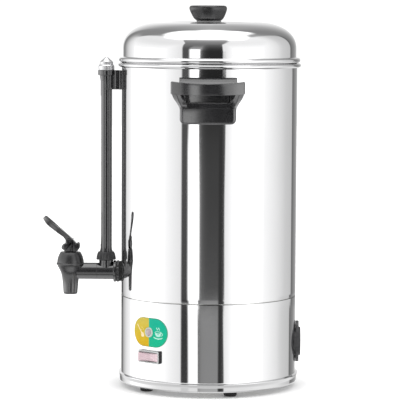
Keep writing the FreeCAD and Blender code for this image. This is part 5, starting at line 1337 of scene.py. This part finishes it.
def switch_rocker():
    """The rocker's outline from above pushed up and down between the frame's sides, and its pin, then
    tipped about the pin: (a cos t - d sin t, a sin t + d cos t) for a place a across and d out from it."""
    half, half_high = SWITCH_BODY[0] / 2 - 1.0, SWITCH_BODY[1] / 2 - 1.2
    tilt = math.radians(ROCKER_TILT)
    out = ROCKER_FACE - ROCKER_AXIS + half * math.tan(tilt)
    outline = soft_outline([
        (-half + 3.0, -2.0, 0.3), (-half, out - 6.4, 0.8), (-half, out, 0.5),
        (0, ROCKER_FACE - ROCKER_AXIS - 0.5, 9.0), (half, out, 0.5), (half, out - 6.4, 0.8),
        (half - 3.0, -2.0, 0.3),
    ], steps=9)
    pin = soft_outline([(0, -6.0, 0), (1.3, -6.0, 0.2), (1.3, 6.0, 0.2), (0, 6.0, 0)], closed=False)
    grids = []
    for grid in (*pushed(outline, -half_high, half_high, 0.5), turned(pin, turns=48)[..., [2, 0, 1]]):
        up, across, depth = grid.T
        outward = ROCKER_AXIS + depth * math.cos(tilt) - across * math.sin(tilt)
        grids.append(at_switch(outward, across * math.cos(tilt) + depth * math.sin(tilt), up))
    return grids


def glossy_finish(name, colour, deep, roughness, bezel=None):
    """Glossy moulded plastic, cloudy by a shade, with faint sink marks; black behind a bezel, if it has
    one, which is a distance from the urn's axis."""
    material, shader = new_finish(name, IOR=1.54, Roughness=roughness)
    cloud = speckle(shader, 3.0, 4.0)
    shade = ramp_node(cloud, [(0.32, deep), (0.70, colour)])
    if bezel:
        place, angle = own_parts(shader), math.radians(SWITCH_AZIMUTH)
        depth = plus(times(place["X"], math.cos(angle)), times(place["Y"], math.sin(angle)))
        black = ramp_node(cloud, [(0.3, (0.012, 0.012, 0.013)), (0.8, (0.02, 0.02, 0.021))])
        shade = mix_node(step_node(depth, (bezel - 0.1) * MM, (bezel + 0.1) * MM), black, shade)
    feed(shader, Base_Color=shade)
    raise_by(shader, speckle(shader, 1.4, 1.0), 0.02)
    return material


frame_tones = ((0.52, 0.53, 0.53), (0.44, 0.45, 0.45))
frame_plastic = glossy_finish("switch_frame", *frame_tones, 0.12, bezel=SWITCH_FRONT - 0.8)
rocker_plastic = clear_finish("switch_rocker", (0.88, 0.69, 0.73), (0.80, 0.59, 0.65), 0.25, 0.16)
frame_grids = [switch_frame(), *[blade(place) for place in (-9.0, 0.0, 9.0)]]
fit_piece("switch_housing", "plastic", frame_plastic, "switch_frame", *frame_grids)
rocker_side, *rocker_ends, rocker_pin = switch_rocker()
fit_piece("switch_rocker", "pink", rocker_plastic, "switch_rocker", rocker_side, rocker_pin, body="rocker",
          caps=rocker_ends)


# Power inlet: a black moulding on the rear wall with a keyed socket and three flat pins. Two slotted
# screws hold its flange. No cord came with the urn.
INLET_HEIGHT = 56.0
INLET_SIZE = (22.8, 50.0)
INLET_BODY = (20.4, 27.6)
INLET_SCREW_SPREAD = 20.0
SOCKET_FLOOR = 101.0
FLANGE_BACK = BODY_RADIUS + 0.4
FLANGE_FRONT = FLANGE_BACK + 3.9
INLET_FRONT = FLANGE_BACK + 6.1


def by_angle(path, angle):
    """A closed outline met at given angles about its middle: the distance is read off between its points."""
    bearing = np.arctan2(path[:, 1], path[:, 0])
    order = np.argsort(bearing)
    reach = np.interp(angle, bearing[order], np.linalg.norm(path[order], axis=1), period=2 * np.pi)
    return np.stack([reach * np.cos(angle), reach * np.sin(angle)], axis=-1)


def ring_rows(rings, depth):
    """Outlines across and up, each at its distance behind the urn's axis, as rows of points."""
    rings = np.stack(rings)
    return points(rings[..., 0], np.array(depth)[:, None], rings[..., 1] + INLET_HEIGHT)


def inlet_middle():
    """Outlines nested one in the next: socket floor, socket wall, raised front, its ribbed side, flange
    back, body. Grooves round the raised part press its side in by a share of 0.022 sin^2(3.3 depth)."""
    angle = np.linspace(-np.pi, np.pi, 361)
    keyed = by_angle(soft_outline([
        (-8.2, -12.2, 0.6), (4.2, -12.2, 0.5), (8.2, -8.2, 0.5), (8.2, 8.2, 0.5), (4.2, 12.2, 0.5),
        (-8.2, 12.2, 0.6),
    ]), angle)
    raised = by_angle(round_section(INLET_SIZE[0] / 2, 15.8, 2.4)[0], angle)
    body = by_angle(round_section(INLET_BODY[0] / 2, INLET_BODY[1] / 2, 1.0)[0], angle)
    side = np.linspace(INLET_FRONT - 0.6, FLANGE_BACK, 33)
    ribs = 1 - 0.022 * np.sin(np.pi * (side - FLANGE_BACK) / 0.95) ** 2
    rings = [keyed * 0.98, keyed, keyed, keyed * 1.03, raised * 0.90, raised * 0.97, raised * 0.992]
    depth = [SOCKET_FLOOR, SOCKET_FLOOR + 0.3, INLET_FRONT - 0.5, INLET_FRONT, INLET_FRONT, INLET_FRONT - 0.1,
             INLET_FRONT - 0.35]
    rings += [raised * rib for rib in ribs] + [raised * 0.98, body, body, body * 0.96]
    depth += [*side, FLANGE_BACK, FLANGE_BACK, 96.4, 96.0]
    return closed(ring_rows(rings, depth))


def inlet_ear(side):
    """One end of the flange, a closed loop of outlines round its screw: a sunk hole, the front, the eased
    edge, the back."""
    angle = np.linspace(-np.pi, np.pi, 181)
    ear = round_section(INLET_SIZE[0] / 2, 10.0, 8.0, 12)[0] - (0, INLET_SCREW_SPREAD - 15.0)
    ear = by_angle(ear, angle)
    circle = points(np.cos(angle), np.sin(angle))
    rows = [
        (circle * 1.8, FLANGE_BACK), (circle * 1.8, FLANGE_FRONT - 1.8), (circle * 3.6, FLANGE_FRONT - 0.05),
        (circle * 3.7, FLANGE_FRONT), (ear * 0.94, FLANGE_FRONT), (ear * 0.985, FLANGE_FRONT - 0.15),
        (ear, FLANGE_FRONT - 0.6), (ear, FLANGE_BACK + 0.5), (ear * 0.99, FLANGE_BACK + 0.1),
        (ear * 0.97, FLANGE_BACK), (circle * 1.8, FLANGE_BACK),
    ]
    rings, depth = zip(*rows)
    return ring_rows([(ring + (0, INLET_SCREW_SPREAD)) * (1, side) for ring in rings], depth)


matt_plastic = moulded_finish("matt_black_plastic", (0.030, 0.030, 0.032), 0.42, gloss=1.5, peel=0.03)
inlet_grids = [inlet_middle(), inlet_ear(1), inlet_ear(-1)]
fit_piece("power_inlet", "plastic", matt_plastic, "black_plastic", *inlet_grids)
fit_copies(nickel_brass, "nickel_brass", "inlet_pins", edge=0.3)
fit_copies(zinc_steel, "zinc_steel", "inlet_screws", "inlet_nuts", edge=0.15)


# Brewing set: a pump tube with a bell foot in the well, a pierced basket on its stop, and a spreader
# that covers the basket. All three are thin stainless sheet, and each one lifts out by hand.
fit_copies(plain_steel, "plain_steel", "pump_tube", "pump_foot", body="brew_tube", edge=0)
fit_copies(plain_steel, "plain_steel", "coffee_basket", body="basket", edge=0)
fit_copies(plain_steel, "plain_steel", "basket_spreader", body="spreader", edge=0)


# Lid: drawn and polished like the tank, with a bead that sits on the rim, a spigot inside it, and a
# shallow recess on top where the knob stands. Its underside is the same sheet seen from below.
LID_GAP = 0.4
LID_BEAD = 3.3
LID_WALL_RADIUS = 108.8
LID_SHOULDER_FOOT = 423.5
LID_CREST_RADIUS = 57.5
LID_CREST = 457.2
LID_DISH = 455.8
LID_SPIGOT_BOTTOM = 398.5
SHOULDER_POWER = 2 / 2.25
KNOB_HOLE = 2.7


def shoulder(radial, rise):
    """A quarter of a superellipse from the crest out to the wall: radial cos^p a, rise sin^p a."""
    angle = np.linspace(np.pi / 2, 0, 40)
    out = LID_CREST_RADIUS + radial * np.clip(np.cos(angle), 0, 1) ** SHOULDER_POWER
    up = LID_SHOULDER_FOOT + rise * np.clip(np.sin(angle), 0, 1) ** SHOULDER_POWER
    return points(out, up)


bead_bottom = RIM_TOP + LID_GAP
bead_top = bead_bottom + 2 * LID_BEAD
bead_centre = (LID_WALL_RADIUS + 1.7, bead_bottom + LID_BEAD)
spigot = LID_WALL_RADIUS - 0.5
shoulder_size = (LID_WALL_RADIUS - LID_CREST_RADIUS, LID_CREST - LID_SHOULDER_FOOT)
dish_rim = soft_outline([
    (KNOB_HOLE, LID_DISH, 0), (51.5, LID_DISH, 2.5), (55.5, LID_CREST - 0.15, 1.6),
    (LID_CREST_RADIUS, LID_CREST, 0),
], closed=False)
under_rim = dish_rim[::-1] - (0.0, SHEET)
wall_foot = soft_outline([
    (LID_WALL_RADIUS, bead_top + 2.0, 0), (LID_WALL_RADIUS, bead_top, 0.9), (bead_centre[0], bead_top, 0),
], closed=False, support=0.1)
lid_outline = supported(np.vstack([
    dish_rim,
    shoulder(*shoulder_size)[1:],
    wall_foot,
    arc(bead_centre, LID_BEAD, 90, -90, 22),
    [(spigot, bead_bottom), (spigot, LID_SPIGOT_BOTTOM), (spigot - SHEET, LID_SPIGOT_BOTTOM)],
    [(spigot - SHEET, bead_bottom + SHEET)],
    arc(bead_centre, LID_BEAD - SHEET, -90, 90, 18),
    [(LID_WALL_RADIUS - SHEET, bead_top - SHEET)],
    shoulder(shoulder_size[0] - SHEET, shoulder_size[1] - SHEET)[::-1],
    under_rim[1:],
    dish_rim[:1],
]))
fit_piece("lid_shell", "steel", polished_steel, "polished_steel", turned(lid_outline), body="lid")


# Knob: a black flared moulding on a grey collar, drawn down by a screw from under the lid. It leans a
# little and sits a little off the middle, as the screw left it.
KNOB_ASIDE = 0.9
KNOB_LEAN = 0.055
COLLAR_TOP = 459.0


def leaned(grid):
    """Moves points sideways by KNOB_ASIDE and more with height: y - aside - lean (z - dish)."""
    return grid - points(0, KNOB_ASIDE + KNOB_LEAN * (grid[..., 2] - LID_DISH), 0)


knob_path = soft_outline([
    (0, 465.0, 0), (2.1, 465.0, 0.1), (2.1, COLLAR_TOP, 0.2), (15.6, COLLAR_TOP, 0.5), (18.6, 461.6, 2.0),
    (21.6, 467.4, 3.0), (23.5, 472.6, 2.0), (23.7, 475.4, 1.4), (22.2, 477.5, 1.2), (18.6, 478.0, 1.8),
    (11.0, 477.0, 3.0), (0, 476.6, 0),
], closed=False)
collar_path = soft_outline([
    (KNOB_HOLE, LID_DISH, 0.1), (15.4, LID_DISH, 0.3), (15.4, COLLAR_TOP, 0.5), (KNOB_HOLE, COLLAR_TOP, 0.1),
])
knob_plastic = moulded_finish("knob_black_plastic", (0.009, 0.009, 0.010), 0.22, gloss=1.42)
collar_grey = glossy_finish("collar_grey", (0.30, 0.30, 0.30), (0.22, 0.22, 0.22), 0.35)
knob_grid, collar_grid = leaned(turned(knob_path, turns=192)), leaned(turned(collar_path, turns=144))
fit_piece("lid_knob", "plastic", knob_plastic, "black_plastic", knob_grid, body="lid")
fit_piece("knob_collar", "grey", collar_grey, "collar_grey", collar_grid, body="lid")
fit_copies(plain_steel, "plain_steel", "knob_screw", body="lid")
